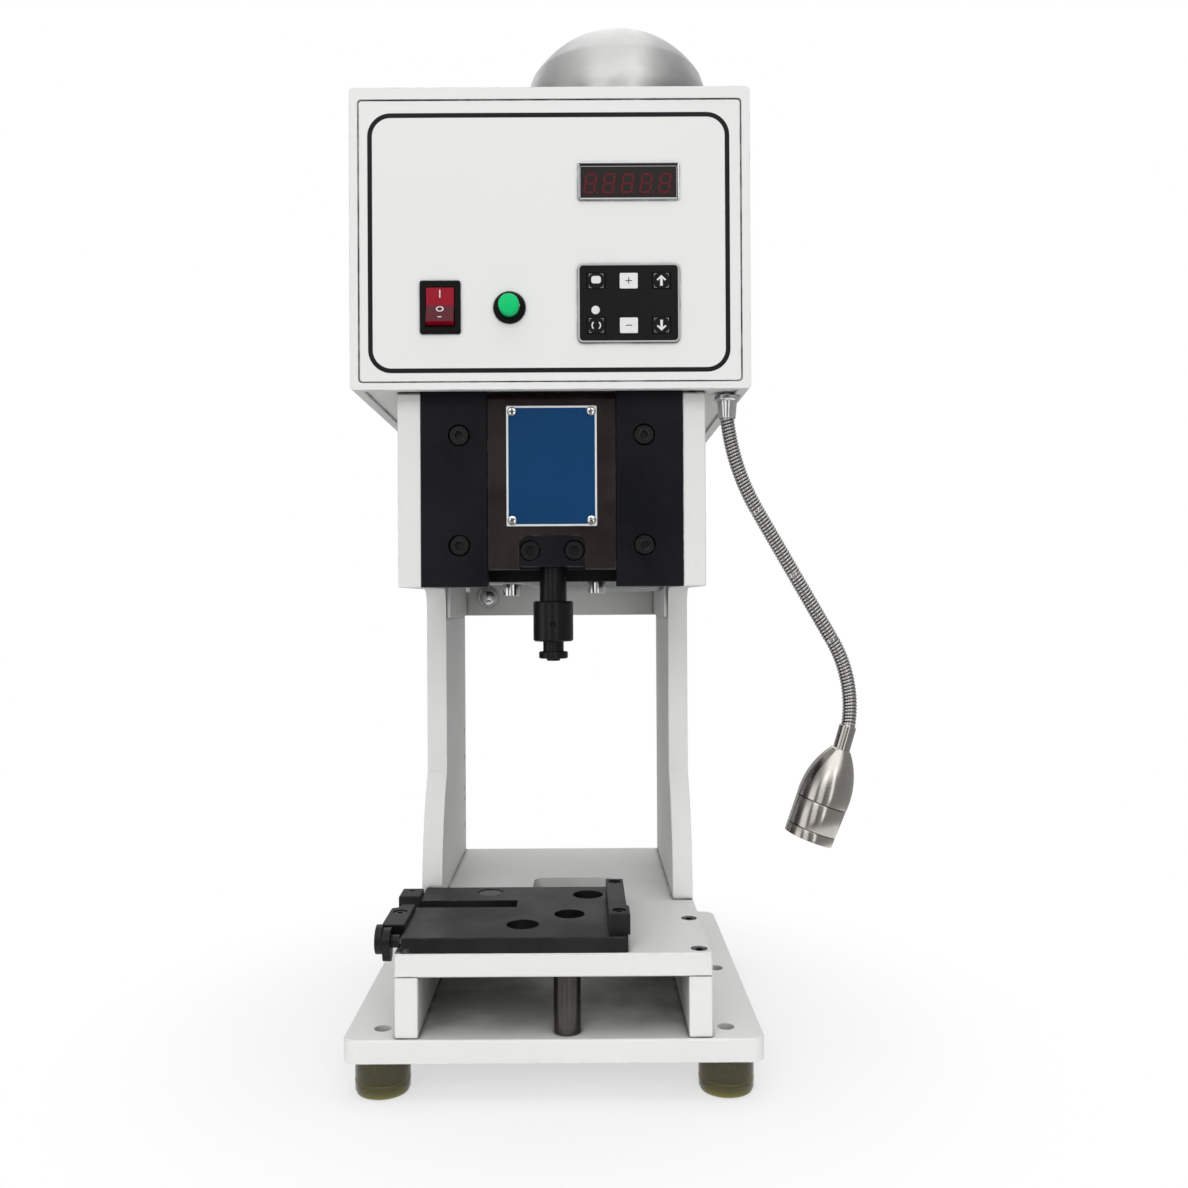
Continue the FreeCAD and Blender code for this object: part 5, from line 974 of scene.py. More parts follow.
@dataclass
class ColumnFrame(Assembly):
    """Side plates and the plates between them."""

    def build(self) -> None:
        """Make the pieces of the frame."""
        dress_each = self.shop.dress_each
        dress_each("white_powder_coat", side_plate_left=0.7, side_plate_right=0.7, rear_tie_plate=0.4)
        dress_each("white_box_paint", sensor_bracket=0.2)
        dress_each("black_guides", bearing_plate=0.5)
        dress_each("cast_grey", gearbox_plate=0.4, gearbox=0.6)
        dress_each("bright_steel", bright_bolts=0.25)


@dataclass
class RamHead(Assembly):
    """Guides, ram, drive rod and all socket screws."""

    guide_seat: float = -21.4 + 8.6
    ram_front: float = -20.9
    ram_seat: float = -20.9 + 8.3
    large_screw: Triple = (13.0, 8.0, 6.0)
    table_screw: Triple = (10.0, 6.0, 5.0)
    small_screw: Triple = (8.5, 5.0, 4.0)
    corner_screw: Point = (6.5, 1.7)
    corner_inset: float = 3.8
    guide_screw_side: float = 61.0
    guide_screw_levels: Point = (251.4, 324.0)
    table_screws: tuple[Point, ...] = ((-94.0, -34.0), (94.0, -34.0), (-94.0, 32.0), (94.0, 32.0))
    table_screw_level: float = -16.5
    small_screws: tuple[Triple, ...] = ((41.8, 44.2, 7.0), (42.8, -26.8, 7.0), (-105.1, 3.0, -1.6))
    dome_bolt: Triple = (-49.0, 65.0, -2.0)
    plate_size: Point = (59.5, 79.1)
    plate_level: float = 303.45
    plate_thickness: float = 1.2
    plate_corner: float = 0.8
    plate_margin: float = 2.6
    enamel: float = 0.12
    holder_screw_side: float = 14.6
    holder_level: float = 247.85

    def build(self) -> None:
        """Make the pieces of the head."""
        dress_each = self.shop.dress_each
        dress_each("black_guides", guide_block_left=0.45, guide_block_right=0.45)
        dress_each("ram_brown", ram=0.4)
        dress_each("black_guides", rod_holder=0.5)
        dress_each("black_tools", adjusting_collar=0.35, tee_head=0.25, drive_rod=0.3)
        self.shop.piece("frame_screws", merge(self._frame_screws()), "black_screws", "socket_screws",
                        ("socket_screws",))
        self._blue_plate()

    def _frame_screws(self) -> Iterable[Mesh]:
        """Make the socket screws of the guides, the table, the stop rail and the clamp.

        Yields:
            The screws, and the flat bolt beside the clamp.
        """
        for side in (-self.guide_screw_side, self.guide_screw_side):
            for level in self.guide_screw_levels:
                yield placed(socket_head(*self.large_screw), facing_front(side, self.guide_seat, level))
        for x, y in self.table_screws:
            yield placed(socket_head(*self.table_screw), at(x, y, self.table_screw_level))
        for place in self.small_screws:
            yield placed(socket_head(*self.small_screw), at(*place))
        bolt = lathe([(0, 0), (9.0, 0), (9.0, 1.1), (8.6, 1.5), (0, 1.5)], 48)
        yield placed(bolt, at(*self.dome_bolt))

    def _blue_plate(self) -> None:
        """Make the blue plate with its bare border, its four screws and those of the rod holder."""
        shop = self.shop
        width, height = self.plate_size
        level, margin = self.plate_level, self.plate_margin
        backing = rounded_plate(width, height, self.plate_corner, self.plate_thickness)
        shop.piece("plate_backing", placed(backing, facing_front(0.0, self.ram_front, level)),
                   "plate_border", "ram_blue_plate", ("ram_blue_plate",))
        front = self.ram_front - self.plate_thickness
        field_mesh = rounded_plate(width - margin, height - margin, self.plate_corner, self.enamel)
        shop.piece("blue_field", placed(field_mesh, facing_front(0.0, front, level)), "blue_enamel",
                   "ram_blue_plate")
        heads = (placed(socket_head(*self.large_screw), facing_front(side, self.ram_seat, self.holder_level))
                 for side in (-self.holder_screw_side, self.holder_screw_side))
        shop.piece("holder_screws", merge(heads), "black_screws", "ram_screws", ("ram_screws",))
        corners = []
        for side in (-1, 1):
            for rise in (-1, 1):
                place = facing_front(side * (width / 2 - self.corner_inset), front,
                                     level + rise * (height / 2 - self.corner_inset))
                spin = Matrix.Rotation(math.radians(20 + 50 * side + 35 * rise), 4, "Z")
                corners.append(placed(cross_head(*self.corner_screw), place @ spin))
        shop.piece("corner_screws", merge(corners), "bright_steel", "ram_screws")


@dataclass
class ApplicatorSeat(Assembly):
    """Black plate that holds the applicator, with its clamp."""

    def build(self) -> None:
        """Make the pieces of the seat."""
        self.shop.dress_each("black_oxide", applicator_plate=0.35, stop_rail=0.3, clamp_blocks=0.3,
                             clamp_lever=0.5)
        self.shop.dress_each("bright_steel", clamp_shaft=0.2)


@dataclass
class ControlBox(Assembly):
    """Sheet-metal box with its printed frame line and the rear cover."""

    line_place: Triple = (-0.7, -36.8, 445.65)
    line_size: Point = (233.4, 167.6)
    line_corner: float = 15.0
    line_width: float = 3.0
    line_thickness: float = 0.06

    def build(self) -> None:
        """Make the pieces of the box."""
        self.shop.dress_each("white_box_paint", box_shell=0.5, box_floor=0.0, front_panel=0.35,
                             rear_cover=0.3)
        self.shop.dress_each("black_plastic", rear_sockets=0.3)
        line = rounded_ring(*self.line_size, self.line_corner, self.line_width, self.line_thickness)
        self.shop.piece("panel_line", placed(line, facing_front(*self.line_place)), "line_black",
                        "front_panel")


@dataclass
class Display(Assembly):
    """Counter display with five digits of seven segments."""

    centre: Point = (50.8, 484.7)
    size: Point = (65.0, 24.2)
    window_face: float = -37.2
    digits: int = 5
    pitch: float = 12.0
    digit: Point = (7.6, 12.9)
    digit_shift: Point = (-0.6, -1.3)
    slant: float = 0.14
    stroke: float = 1.3
    gap: float = 0.25
    thickness: float = 0.05

    def build(self) -> None:
        """Make the frame, the window and the digits."""
        (x, z), (width, height) = self.centre, self.size
        front = facing_front(x, self.window_face + 0.4, z)
        frame = soften(rounded_ring(width, height, 1.0, 1.0, 1.5), 0.3, 3)
        lip = rounded_ring(width - 2.6, height - 3.4, 0.8, 0.35, 0.3)
        rims = (placed(frame, front), placed(lip, facing_front(x, self.window_face - 0.1, z - 0.6)))
        self.shop.piece("display_frame", merge(rims), "chrome_trim", "display_bezel", ("display_bezel",))
        glass = rounded_plate(width - 1.6, height - 1.6, 0.4, 0.6)
        self.shop.piece("display_glass", placed(glass, front), "window_tint", "display_window",
                        ("display_window",))
        right, up = self.digit_shift
        place = facing_front(x + right, self.window_face - 0.19, z + up)
        strokes = (placed(mesh, place) for index in range(self.digits)
                   for mesh in self._digit((index - self.digits // 2) * self.pitch))
        self.shop.piece("display_digits", merge(strokes), "dim_digits_glow", "display_window")

    def _digit(self, shift: float) -> list[Mesh]:
        """Make seven segments and a point.

        Args:
            shift: Distance along X from the middle of the display.

        Returns:
            The eight meshes.
        """
        half, rise = self.digit[0] / 2, self.digit[1] / 2
        side, high, gap = half - self.stroke / 2, rise - self.stroke / 2, self.gap
        bars = [self._bar((-side + gap, level), (side - gap, level)) for level in (-high, 0.0, high)]
        bars += [self._bar((x, low + gap), (x, low + high - gap)) for x in (-side, side)
                 for low in (-high, 0.0)]
        point = bmesh.new()
        bmesh.ops.create_circle(point, cap_ends=True, segments=12, radius=0.6 * MM)
        bars.append(placed(thicken(point, self.thickness), at(half + 1.5, -rise + 0.6, 0.0)))
        lean = Matrix(((1.0, self.slant, 0.0, shift * MM), (0.0, 1.0, 0.0, 0.0), (0.0, 0.0, 1.0, 0.0),
                       (0.0, 0.0, 0.0, 1.0)))
        return [placed(bar, lean) for bar in bars]

    def _bar(self, start: Point, end: Point) -> Mesh:
        """Make one segment with pointed ends.

        Args:
            start: Its left or lower end.
            end: Its right or upper end.

        Returns:
            The segment.
        """
        half = self.stroke / 2
        (x1, y1), (x2, y2) = start, end
        if abs(y1 - y2) < 1e-9:
            points = [(x1, y1), (x1 + half, y1 - half), (x2 - half, y2 - half), (x2, y2),
                      (x2 - half, y2 + half), (x1 + half, y1 + half)]
        else:
            points = [(x1, y1), (x1 + half, y1 + half), (x2 + half, y2 - half), (x2, y2),
                      (x2 - half, y2 - half), (x1 - half, y1 + half)]
        return sheet(points, self.thickness)


@dataclass
class Keypad(Assembly):
    """Membrane keypad with six keys and an indicator."""

    centre: Point = (50.6, 406.0)
    size: Point = (65.4, 50.6)
    face: float = -38.2
    pitch: float = 21.0
    row: float = 28.7
    indicator: Point = (29.2, 401.6)
    thickness: float = 0.05
    bracket: float = 4.6
    bracket_arm: float = 1.7
    bracket_line: float = 0.3

    def build(self) -> None:
        """Make the plate, its edge, the keys and their signs."""
        shop = self.shop
        x, z = self.centre
        shop.dress("keypad_plate", "keypad_black", 0.2)
        edge = soften(rounded_ring(*self.size, 3.4, 1.1, 0.35), 0.12)
        shop.piece("keypad_rim", placed(edge, facing_front(x, self.face, z)), "keypad_edge", "keypad_plate")
        spot = lathe([(0, 0.35), (1.6, 0.3), (2.7, 0.0), (0, 0.0)], 32)
        shop.piece("indicator", placed(spot, facing_front(self.indicator[0], self.face, self.indicator[1])),
                   "mark_white", "keypad_plate")
        keys = {"key_mode": (-1, 1, self._mode), "key_plus": (0, 1, self._plus), "key_up": (1, 1, self._up),
                "key_reset": (-1, -1, self._reset), "key_minus": (0, -1, self._minus),
                "key_down": (1, -1, self._down)}
        for name, (column, side, sign) in keys.items():
            place = facing_front(x + column * self.pitch, self.face - 0.2, z + side * self.row / 2)
            white = column == 0
            shop.dress(name, "key_white" if white else "keypad_black", 0.1)
            shop.piece(name + "_sign", placed(sign(), place), "line_black" if white else "mark_white", name)
            if not white:
                shop.piece(name + "_corners", placed(self._corners(), place), "arrow_grey", name)

    def _plus(self) -> Mesh:
        """Make the plus sign."""
        return sheet(cross(2.1, 0.28), self.thickness)

    def _minus(self) -> Mesh:
        """Make the minus sign."""
        return strip(2.1, 0.28, self.thickness)

    def _up(self) -> Mesh:
        """Make the arrow that points up."""
        return sheet([(-0.9, -3.4), (0.9, -3.4), (0.75, 1.2), (2.4, -0.1), (3.1, 0.7), (0.0, 3.6),
                      (-3.1, 0.7), (-2.4, -0.1), (-0.75, 1.2)], self.thickness)

    def _down(self) -> Mesh:
        """Make the arrow that points down."""
        return placed(self._up(), Matrix.Rotation(math.pi, 4, "Z"))

    def _mode(self) -> Mesh:
        """Make a plain rounded block."""
        return placed(rounded_plate(6.2, 4.8, 1.7, self.thickness), at(0.0, 0.7, 0.0))

    def _reset(self) -> Mesh:
        """Make two curved strokes, left and right.

        Returns:
            The sign.
        """
        strokes = []
        for side in (0.0, math.pi):
            stroke = bmesh.new()
            ends = [stroke.verts.new((reach * MM, 0.0, 0.0)) for reach in (2.3, 3.1)]
            edge = stroke.edges.new(ends)
            stroke.transform(Matrix.Rotation(math.radians(-50), 4, "Z"))
            bmesh.ops.spin(stroke, geom=[*ends, edge], cent=(0, 0, 0), axis=(0, 0, 1), dvec=(0, 0, 0),
                           angle=math.radians(100), steps=12)
            strokes.append(placed(thicken(stroke, self.thickness), Matrix.Rotation(side, 4, "Z")))
        return merge(strokes)

    def _corners(self) -> Mesh:
        """Make four small brackets round a sign.

        Returns:
            The brackets.
        """
        wide = self.bracket
        arm, line = wide - self.bracket_arm, wide - self.bracket_line
        return merge(placed(sheet([(wide, wide), (arm, wide), (arm, line), (line, line), (line, arm),
                                   (wide, arm)], 0.04), Matrix.Rotation(math.pi / 2 * turn, 4, "Z"))
                     for turn in range(4))


@dataclass
class RockerSwitch(Assembly):
    """Mains switch with its lit rocker."""

    centre: Point = (-70.8, 404.0)
    pivot: float = -32.8
    tip: float = math.radians(-8.0)
    valley: float = 6.0
    crest: float = 7.9
    crest_rise: float = 11.3
    thickness: float = 0.06

    def build(self) -> None:
        """Make the bezel, the rocker and its two signs."""
        self.shop.dress("switch_bezel", "black_plastic", 0.35)
        self._shade_lower(self.shop.dress("switch_rocker", "red_rocker", 0.6, 20.0))
        thickness = self.thickness
        ring = lathe([(1.35, 0.0), (1.95, 0.0), (1.95, thickness), (1.35, thickness)], 40, closed=True)
        ring.transform(Matrix.Diagonal((1.25, 1.0, 1.0, 1.0)))
        signs = ((strip(0.35, 2.5, thickness), 7.4), (ring, -2.5), (strip(1.2, 0.3, thickness), -8.2))
        self.shop.piece("rocker_signs", merge(placed(mesh, self._on_face(rise)) for mesh, rise in signs),
                        "mark_white", "switch_rocker")

    def _shade_lower(self, rocker: bpy.types.Object) -> None:
        """Mark the lower face of the rocker for painted shade, as it faces down, away from the light above.

        Args:
            rocker: The dressed rocker.
        """
        mark = rocker.data.attributes.new(SHADE_MARK, "FLOAT", "FACE")
        for face in rocker.data.polygons:
            lower = face.center.z < self.centre[1] * MM and face.normal.y < -0.8
            mark.data[face.index].value = 1.0 if lower else 0.0

    def _on_face(self, rise: float) -> Matrix:
        """Find the placement on the rocker's face.

        Args:
            rise: Height over the pivot along the rocker, in millimetres.

        Returns:
            The placement.
        """
        depth = -self.valley - abs(rise) * (self.crest - self.valley) / self.crest_rise
        slope = math.copysign(math.atan2(self.crest - self.valley, self.crest_rise), rise)
        x, z = self.centre
        rock = at(x, self.pivot, z) @ Matrix.Rotation(self.tip, 4, "X")
        lean = Matrix.Rotation(slope, 4, "X")
        return rock @ at(0.0, depth - 0.02, rise) @ lean @ Matrix.Rotation(math.radians(90), 4, "X")


@dataclass
class StartButton(Assembly):
    """Green push button in a black ring."""

    place: Triple = (-26.2, -36.8, 403.7)
    ring: tuple[Point, ...] = ((6.75, 0.0), (10.4, 0.0), (10.4, 0.9), (10.1, 1.5), (8.3, 2.9), (7.7, 3.2),
                               (6.95, 3.2), (6.75, 3.0))
    cap: tuple[Point, ...] = ((0.0, 11.0), (5.4, 10.95), (6.0, 10.8), (6.4, 10.4), (6.6, 9.8), (6.6, -8.0),
                              (0.0, -8.0))

    def build(self) -> None:
        """Make the ring and the cap."""
        place = facing_front(*self.place)
        self.shop.piece("button_ring", placed(lathe(self.ring, closed=True), place), "black_plastic",
                        "button_bezel", ("button_bezel",))
        self.shop.piece("start_cap", placed(lathe(self.cap), place), "green_cap", "button_cap",
                        ("button_cap",))


@dataclass
class MotorUnderCowl(Assembly):
    """Spun cowl over the motor and its fan."""

    axis: Point = (50.0, 155.0)
    radius: float = 79.0
    low: float = 546.0
    shoulder: float = 609.4
    crease_radius: float = 69.4
    crease: float = 636.5
    top: float = 674.9
    wall: float = 1.5
    steps: int = 22

    def build(self) -> None:
        """Make the cowl, and dress what it covers."""
        self.shop.piece("spun_cowl", placed(lathe(self._profile(), 160, closed=True), at(*self.axis, 0.0)),
                        "spun_steel", "motor_cowl", ("motor_cowl",), 24.0)
        self.shop.dress_each("cast_grey", motor=0.0)
        self.shop.dress_each("black_plastic", motor_fan=0.0)
        self.shop.dress_each("bright_steel", crankshaft=0.2, slider_block=0.2, shaft_bearings=0.2)

    def _dome(self, inset: float) -> list[Point]:
        """Follow the dome from its top to the crease.

        Args:
            inset: Distance inside the outer face, in millimetres.

        Returns:
            The points.
        """
        rise = self.top - self.crease
        cap = (self.crease_radius ** 2 + rise ** 2) / (2 * rise)
        full = math.asin(self.crease_radius / cap)
        angles = [full * step / self.steps for step in range(self.steps + 1)]
        return [((cap - inset) * math.sin(angle), self.top - cap + (cap - inset) * math.cos(angle))
                for angle in angles]

    def _profile(self) -> list[Point]:
        """Draw the outer and inner outline of the cowl.

        Returns:
            The points.
        """
        radius, shoulder, low, wall = self.radius, self.shoulder, self.low, self.wall
        return [(radius - 5.0, low), (radius - 0.6, low), (radius, low + 0.6), (radius, shoulder - 6.0),
                (radius - 0.25, shoulder - 2.5), (radius - 0.95, shoulder + 1.2),
                (radius - 2.2, shoulder + 5.4), *reversed(self._dome(0.0)), *self._dome(wall)[:-1],
                (self.crease_radius - wall, self.crease - 1.0), (radius - wall, shoulder - 0.5),
                (radius - wall, low + wall), (radius - 5.0, low + wall)]


@dataclass
class Gooseneck(Assembly):
    """Spiral-wound neck, drawn as the four lengths that turn on each other."""

    radius: float = 4.8
    pitch: float = 2.2
    rib: float = 0.60
    ball_inset: float = 0.35
    over: float = 0.5
    gap: float = 0.7
    around: int = 28
    per_turn: int = 16
    travelled: float = field(default=0.0, init=False)

    def build(self) -> None:
        """Make the fitting and the four lengths."""
        self.shop.dress("neck_fitting", "bright_steel", 0.3)
        place = NECK_START
        for run in NECK_RUNS:
            mesh = self._length(run, place)
            self.shop.piece(run.node + "_spiral", mesh, "neck_steel", run.node, (run.node,), 60.0)
            place = run.after(place, run.length)
            self.travelled += run.length

    def _length(self, run: Run, start: Triple) -> Mesh:
        """Make one ribbed length with a ball in its upper end.

        Args:
            run: Its centre line.
            start: x, z and heading of its upper joint.

        Returns:
            The mesh.
        """
        mesh = bmesh.new()
        steps = round(run.length / self.pitch * self.per_turn)
        ring = bmesh.ops.create_circle(mesh, segments=self.around, radius=self.radius * MM)["verts"]
        for point in ring:
            point.co.z = -self.over * MM
        edges = mesh.edges[:]
        drop = (run.length - self.over - self.gap) / steps
        for _ in range(steps):
            grown = bmesh.ops.extrude_edge_only(mesh, edges=edges)["geom"]
            edges = only(grown, bmesh.types.BMEdge)
            bmesh.ops.translate(mesh, verts=only(grown, bmesh.types.BMVert), vec=(0.0, 0.0, -drop * MM))
        bmesh.ops.holes_fill(mesh, edges=[edge for edge in mesh.edges if edge.is_boundary], sides=64)
        self._wind(mesh)
        ball = bmesh.new()
        bmesh.ops.create_uvsphere(ball, u_segments=24, v_segments=14,
                                  radius=(self.radius - self.ball_inset) * MM)
        mesh = merge((mesh, ball))
        for point in mesh.verts:
            along = -point.co.z / MM
            x, z, way = run.after(start, max(along, 0.0))
            above = min(along, 0.0)
            centre = Vector((x + above * math.sin(way), NECK_DEPTH, z - above * math.cos(way)))
            across = Vector((math.cos(way), 0.0, math.sin(way)))
            point.co = (centre + across * (point.co.x / MM) + Vector((0, 1, 0)) * (point.co.y / MM)) * MM
        bmesh.ops.recalc_face_normals(mesh, faces=mesh.faces[:])
        return mesh

    def _wind(self, mesh: Mesh) -> None:
        """Press the spiral groove into a straight tube, and mark its depth on each point, which the finish
        paints as shade in the groove.

        Args:
            mesh: The tube, along -Z.
        """
        groove_shade = mesh.verts.layers.float.new(SHADE_MARK)
        for point in mesh.verts:
            reach = math.hypot(point.co.x, point.co.y)
            angle = math.atan2(point.co.y, point.co.x)
            phase = math.tau * (-point.co.z / MM + self.travelled) / self.pitch + angle
            depth = (0.5 - 0.5 * math.cos(phase)) ** 2
            point[groove_shade] = depth
            factor = 1.0 - self.rib * depth * MM / reach
            point.co.x *= factor
            point.co.y *= factor


@dataclass
class LampHead(Assembly):
    """Turned steel lamp on the end of the gooseneck."""

    ball: float = 4.8
    stem_radius: float = 5.6
    stem_drop: float = 0.5
    stem_foot: float = 1.8
    shoulder: float = 6.6
    ogive: float = 37.4
    radius: float = 17.0
    end_radius: float = 16.2
    barrel: float = 18.2
    ring: float = 6.2
    groove: float = 0.8
    wall: float = 2.0
    well: float = 4.0

    def build(self) -> None:
        """Make the body and the lens."""
        place = Matrix.Translation(LAMP_FOOT) @ Matrix.Rotation(LAMP_TILT, 4, "Y")
        upper = Matrix.Translation(NECK_END) @ Matrix.Rotation(STEM_TILT, 4, "Y")
        ball, drop, radius, foot = self.ball, self.stem_drop, self.stem_radius, -STEM - self.stem_foot
        stem = lathe([(0.0, ball), (ball * 0.5, ball * 0.87), (ball * 0.87, ball * 0.5), (ball, -drop),
                      (radius - 0.4, -drop), (radius, -drop - 0.4), (radius, foot), (0.0, foot)], 64)
        shell = lathe(self._profile(), 128)
        self._mark_groove_shade(shell)
        self.shop.piece("lamp_shell", merge((placed(shell, place), placed(stem, upper))), "lamp_steel",
                        "lamp_body", ("lamp_body",), 24.0)
        floor = self.well - self._end
        reach = self.end_radius - self.wall - 0.05
        lens = lathe([(0.0, floor), (reach, floor), (reach, floor - 1.2), (reach * 0.7, floor - 1.9),
                      (reach * 0.35, floor - 2.3), (0.0, floor - 2.4)])
        self.shop.piece("lamp_window", placed(lens, place), "lamp_glass", "lamp_lens", ("lamp_lens",))

    def _mark_groove_shade(self, shell: Mesh) -> None:
        """Mark the points on the floors of the two grooves, which the finish paints as shade.

        Args:
            shell: The body, with its top at the origin.
        """
        mark = shell.verts.layers.float.new(SHADE_MARK)
        for point in shell.verts:
            depth = -point.co.z / MM
            sunk = self._rim(depth)[0] - math.hypot(point.co.x, point.co.y) / MM
            if depth > self.ogive - 0.1 and self.groove * 0.5 < sunk < self.groove * 1.5:
                point[mark] = 1.0

    @property
    def _end(self) -> float:
        """Depth of the body's lower end under its top."""
        return self.ogive + self.barrel + self.ring + 2 * self.groove

    def _rim(self, depth: float, sunk: float = 0.0) -> Point:
        """Find a point on the tapered outside.

        Args:
            depth: Distance under the body's top.
            sunk: Distance inside the surface.

        Returns:
            Radius and height of the point.
        """
        taper = (self.radius - self.end_radius) / (self._end - self.ogive)
        return self.radius - taper * (depth - self.ogive) - sunk, -depth

    def _profile(self) -> list[Point]:
        """Draw the body from its top down to the well of its lens.

        Returns:
            The points.
        """
        bulge = (self.shoulder + (self.radius - self.shoulder) * 0.64, -self.ogive * 0.33)
        nose = arc((self.shoulder, -0.3), bulge, self._rim(self.ogive), 24)
        points = [(0.0, 0.0), (self.shoulder - 0.5, 0.0), *nose]
        depth = self.ogive
        for length in (self.barrel, self.ring):
            low = depth + self.groove
            points += [self._rim(depth + 0.1, 0.1), self._rim(depth + 0.15, self.groove),
                       self._rim(low - 0.15, self.groove), self._rim(low - 0.1, 0.1), self._rim(low + 0.15),
                       self._rim(low + length - 0.15)]
            depth = low + length
        inner, floor = self.end_radius - self.wall, self.well + 0.1 - depth
        return points + [self._rim(depth, 0.3), (inner + 0.2, -depth), (inner, -depth + 0.2),
                         (inner, floor), (0.0, floor)]


@dataclass(frozen=True)
class Softbox:
    """One flat lamp, in metres and watts."""

    name: str
    place: Triple
    target: Triple
    width: float
    height: float
    power: float
    mirrored: bool = True

    def build(self, scene: bpy.types.Scene) -> None:
        """Hang the lamp and point it.

        Args:
            scene: The scene that gets it.
        """
        data = bpy.data.lights.new(self.name, "AREA")
        data.shape = "RECTANGLE"
        data.size = self.width
        data.size_y = self.height
        data.energy = self.power
        lamp = bpy.data.objects.new(self.name, data)
        lamp.location = self.place
        lamp.visible_glossy = self.mirrored
        lamp.rotation_euler = (Vector(self.target) - Vector(self.place)).to_track_quat("-Z", "Y").to_euler()
        scene.collection.objects.link(lamp)


@dataclass
class Studio:
    """Camera, floor, lamps and the room that metal reflects.

    The camera is placed in millimetres and degrees, floor and lamps in metres. Angles of the room
    run from -180 to 180 degrees, with 0 behind the camera and 90 to its right.
    """

    camera_place: Triple = (19.2, -730.9, 215.9)
    camera_turn: Triple = (90.197, 0.30, -0.056)
    lens: float = 32.68
    sensor: float = 36.0
    lens_shift: Point = (0.0096, 0.001)
    floor_centre: Triple = (0.0, 0.1, -0.104)
    floor_radius: float = 0.5
    softboxes: tuple[Softbox, ...] = (
        Softbox("key_light", (-0.88, -2.07, 0.70), (0.0, 0.0, 0.45), 0.90, 2.3, 6.0),
        Softbox("fill_light", (0.68, -2.14, 0.60), (0.0, 0.0, 0.40), 0.34, 2.2, 4.0),
        Softbox("front_light", (-0.1, -2.00, 1.25), (0.0, 0.05, 0.30), 2.4, 1.0, 12.5, mirrored=False),
        Softbox("low_light", (0.0, -2.00, 0.05), (0.0, 0.0, 0.15), 3.0, 0.4, 6.0, mirrored=False),
        Softbox("top_light", (0.1, 0.0, 2.4), (0.0, 0.1, 0.2), 2.2, 2.2, 15.0, mirrored=False))
    room: tuple[Point, ...] = (
        (-180.0, 0.40), (-150.0, 0.25), (-134.0, 0.04), (-108.0, 0.05), (-84.0, 0.12), (-74.0, 1.25),
        (-54.0, 1.25), (-47.0, 0.10), (-12.0, 0.12), (-5.0, 0.26), (4.0, 0.26), (10.0, 0.12), (29.0, 0.10),
        (35.0, 1.20), (47.0, 1.20), (53.0, 0.14), (72.0, 0.12), (84.0, 0.30), (98.0, 0.16), (104.0, 0.80),
        (114.0, 0.80), (122.0, 0.16), (150.0, 0.36), (180.0, 0.40))
    ceiling: float = 1.7
    ceiling_side: float = 0.35
    low_light: float = 0.38
    high_light: float = 0.70

    def build(self) -> None:
        """Set up everything that isn't part of the machine."""
        scene = bpy.context.scene
        scene.view_settings.view_transform = "Standard"
        data = bpy.data.cameras.new("photo_camera")
        data.lens = self.lens
        data.sensor_width = self.sensor
        data.shift_x, data.shift_y = self.lens_shift
        data.clip_start, data.clip_end = 0.01, 50.0
        camera = bpy.data.objects.new("photo_camera", data)
        camera.location = Vector(self.camera_place) * MM
        camera.rotation_euler = [math.radians(angle) for angle in self.camera_turn]
        scene.collection.objects.link(camera)
        scene.camera = camera
        self._floor(scene)
        self._world(scene)
        for softbox in self.softboxes:
            softbox.build(scene)

    def _floor(self, scene: bpy.types.Scene) -> None:
        """Lay the white floor that keeps the machine's shadow.

        Args:
            scene: The scene that gets it.
        """
        mesh = bmesh.new()
        bmesh.ops.create_circle(mesh, cap_ends=True, segments=96, radius=self.floor_radius)
        bmesh.ops.translate(mesh, verts=mesh.verts[:], vec=self.floor_centre)
        data = bpy.data.meshes.new("floor")
        mesh.to_mesh(data)
        mesh.free()
        data.materials.append(self._floor_paint())
        floor = bpy.data.objects.new("floor", data)
        scene.collection.objects.link(floor)

    def _floor_paint(self) -> bpy.types.Material:
        """Make the floor's white, which fades into the background away from the machine.

        Returns:
            The material.
        """
        material = bpy.data.materials.new("white_floor")
        material.use_nodes = True
        tree = Tree(material.node_tree)
        shader = material.node_tree.nodes["Principled BSDF"]
        for name, value in {"Base Color": (0.96, 0.96, 0.96), "Roughness": 0.9,
                            "Specular IOR Level": 0.1}.items():
            tree.give(shader.inputs[name], value)
        place = tree.add("VectorMath", operation="SUBTRACT", _0=tree.add("TexCoord").outputs["Object"],
                         _1=self.floor_centre).outputs["Vector"]
        reach = tree.add("VectorMath", operation="LENGTH", _0=place).outputs["Value"]
        fade = tree.ranged(reach, From_Min=0.17, From_Max=0.38, To_Min=0.60, interpolation_type="SMOOTHSTEP")
        seen = tree.rays("Camera", "Glossy", "Transmission")
        glow = tree.add("Emission", Color=WHITE, Strength=1.0)
        mix = tree.add("MixShader", Fac=tree.math("MULTIPLY", fade, seen), _1=shader.outputs["BSDF"],
                       _2=glow.outputs["Emission"])
        tree.give(material.node_tree.nodes["Material Output"].inputs["Surface"], mix.outputs["Shader"])
        return material

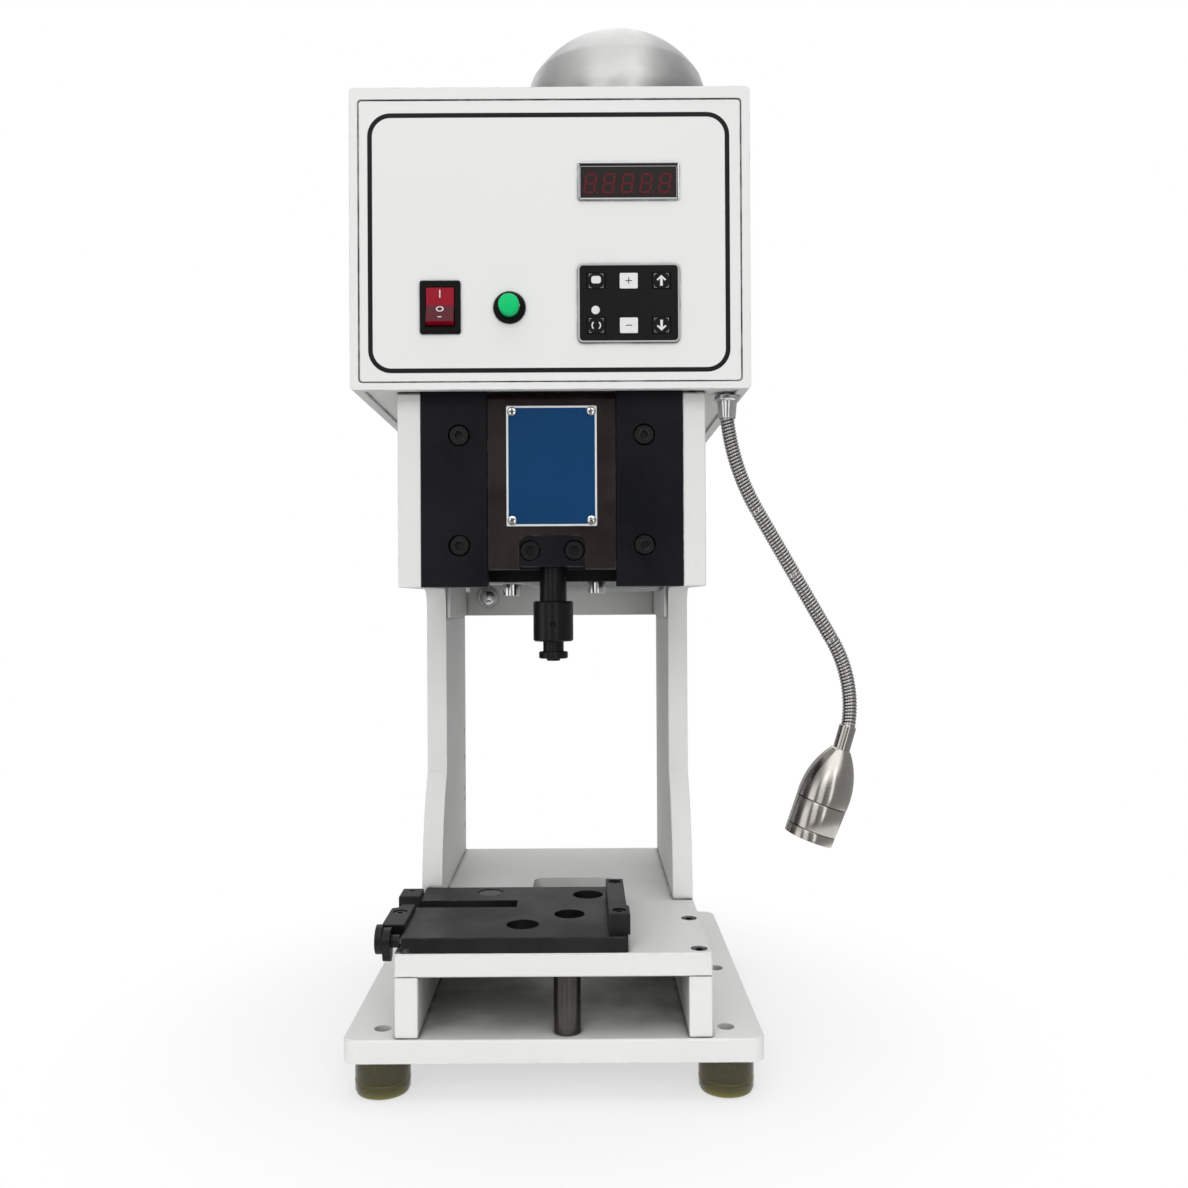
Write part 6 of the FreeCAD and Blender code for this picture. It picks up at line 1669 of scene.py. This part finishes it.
    def _world(self, scene: bpy.types.Scene) -> None:
        """Set a white background, soft light that comes more from above, and the room.

        Args:
            scene: The scene that gets them.
        """
        world = bpy.data.worlds.new("studio")
        world.use_nodes = True
        scene.world = world
        world.node_tree.nodes.clear()
        tree = Tree(world.node_tree)
        direction = tree.add("SeparateXYZ", Vector=tree.add("TexCoord").outputs["Generated"]).outputs
        soft = tree.ranged(direction["Z"], From_Min=-0.1, From_Max=0.9, To_Min=self.low_light,
                           To_Max=self.high_light)
        light = tree.mix(tree.rays("Glossy"), soft, self._room(tree, direction))
        shown = tree.mix(tree.rays("Camera", "Transmission"), light, 1.0)
        background = tree.add("Background", Color=WHITE, Strength=shown)
        tree.add("OutputWorld", Surface=background.outputs["Background"])

    def _room(self, tree: Tree, direction: bpy.types.NodeOutputs) -> Socket:
        """Make the room that metal reflects, with the ceiling over it.

        Args:
            tree: The world's tree.
            direction: X, Y and Z of the direction.

        Returns:
            Brightness of the room in that direction.
        """
        angle = tree.math("ARCTAN2", direction["X"], tree.math("MULTIPLY", direction["Y"], -1.0))
        place = tree.math("ADD", tree.math("DIVIDE", angle, math.tau), 0.5)
        ramp = tree.add("ValToRGB", Fac=place)
        stops = ramp.color_ramp.elements
        while len(stops) > 1:
            stops.remove(stops[-1])
        for index, (degrees, value) in enumerate(self.room):
            stop = stops[0] if index == 0 else stops.new(0.5)
            stop.position = degrees / 360.0 + 0.5
            stop.color = (value, value, value, 1.0)
        height = tree.ranged(direction["Z"], From_Min=0.24, From_Max=0.66, interpolation_type="SMOOTHSTEP")
        aside = tree.math("ABSOLUTE", direction["X"])
        ceiling = tree.ranged(aside, From_Min=0.30, From_Max=0.72, To_Min=self.ceiling,
                              To_Max=self.ceiling_side, interpolation_type="SMOOTHSTEP")
        return tree.mix(height, ramp.outputs["Color"], ceiling)


def main() -> None:
    """Build every sub-assembly in order."""
    logging.basicConfig(level=logging.INFO, format="%(message)s")
    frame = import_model()
    shop = Shop(frame)
    Studio().build()
    for kind in (Stand, ColumnFrame, RamHead, ApplicatorSeat, ControlBox, Display, Keypad, RockerSwitch,
                 StartButton, MotorUnderCowl, Gooseneck, LampHead):
        LOG.info("Building %s", kind.__name__)
        kind(shop).build()


if __name__ == "__main__":
    main()
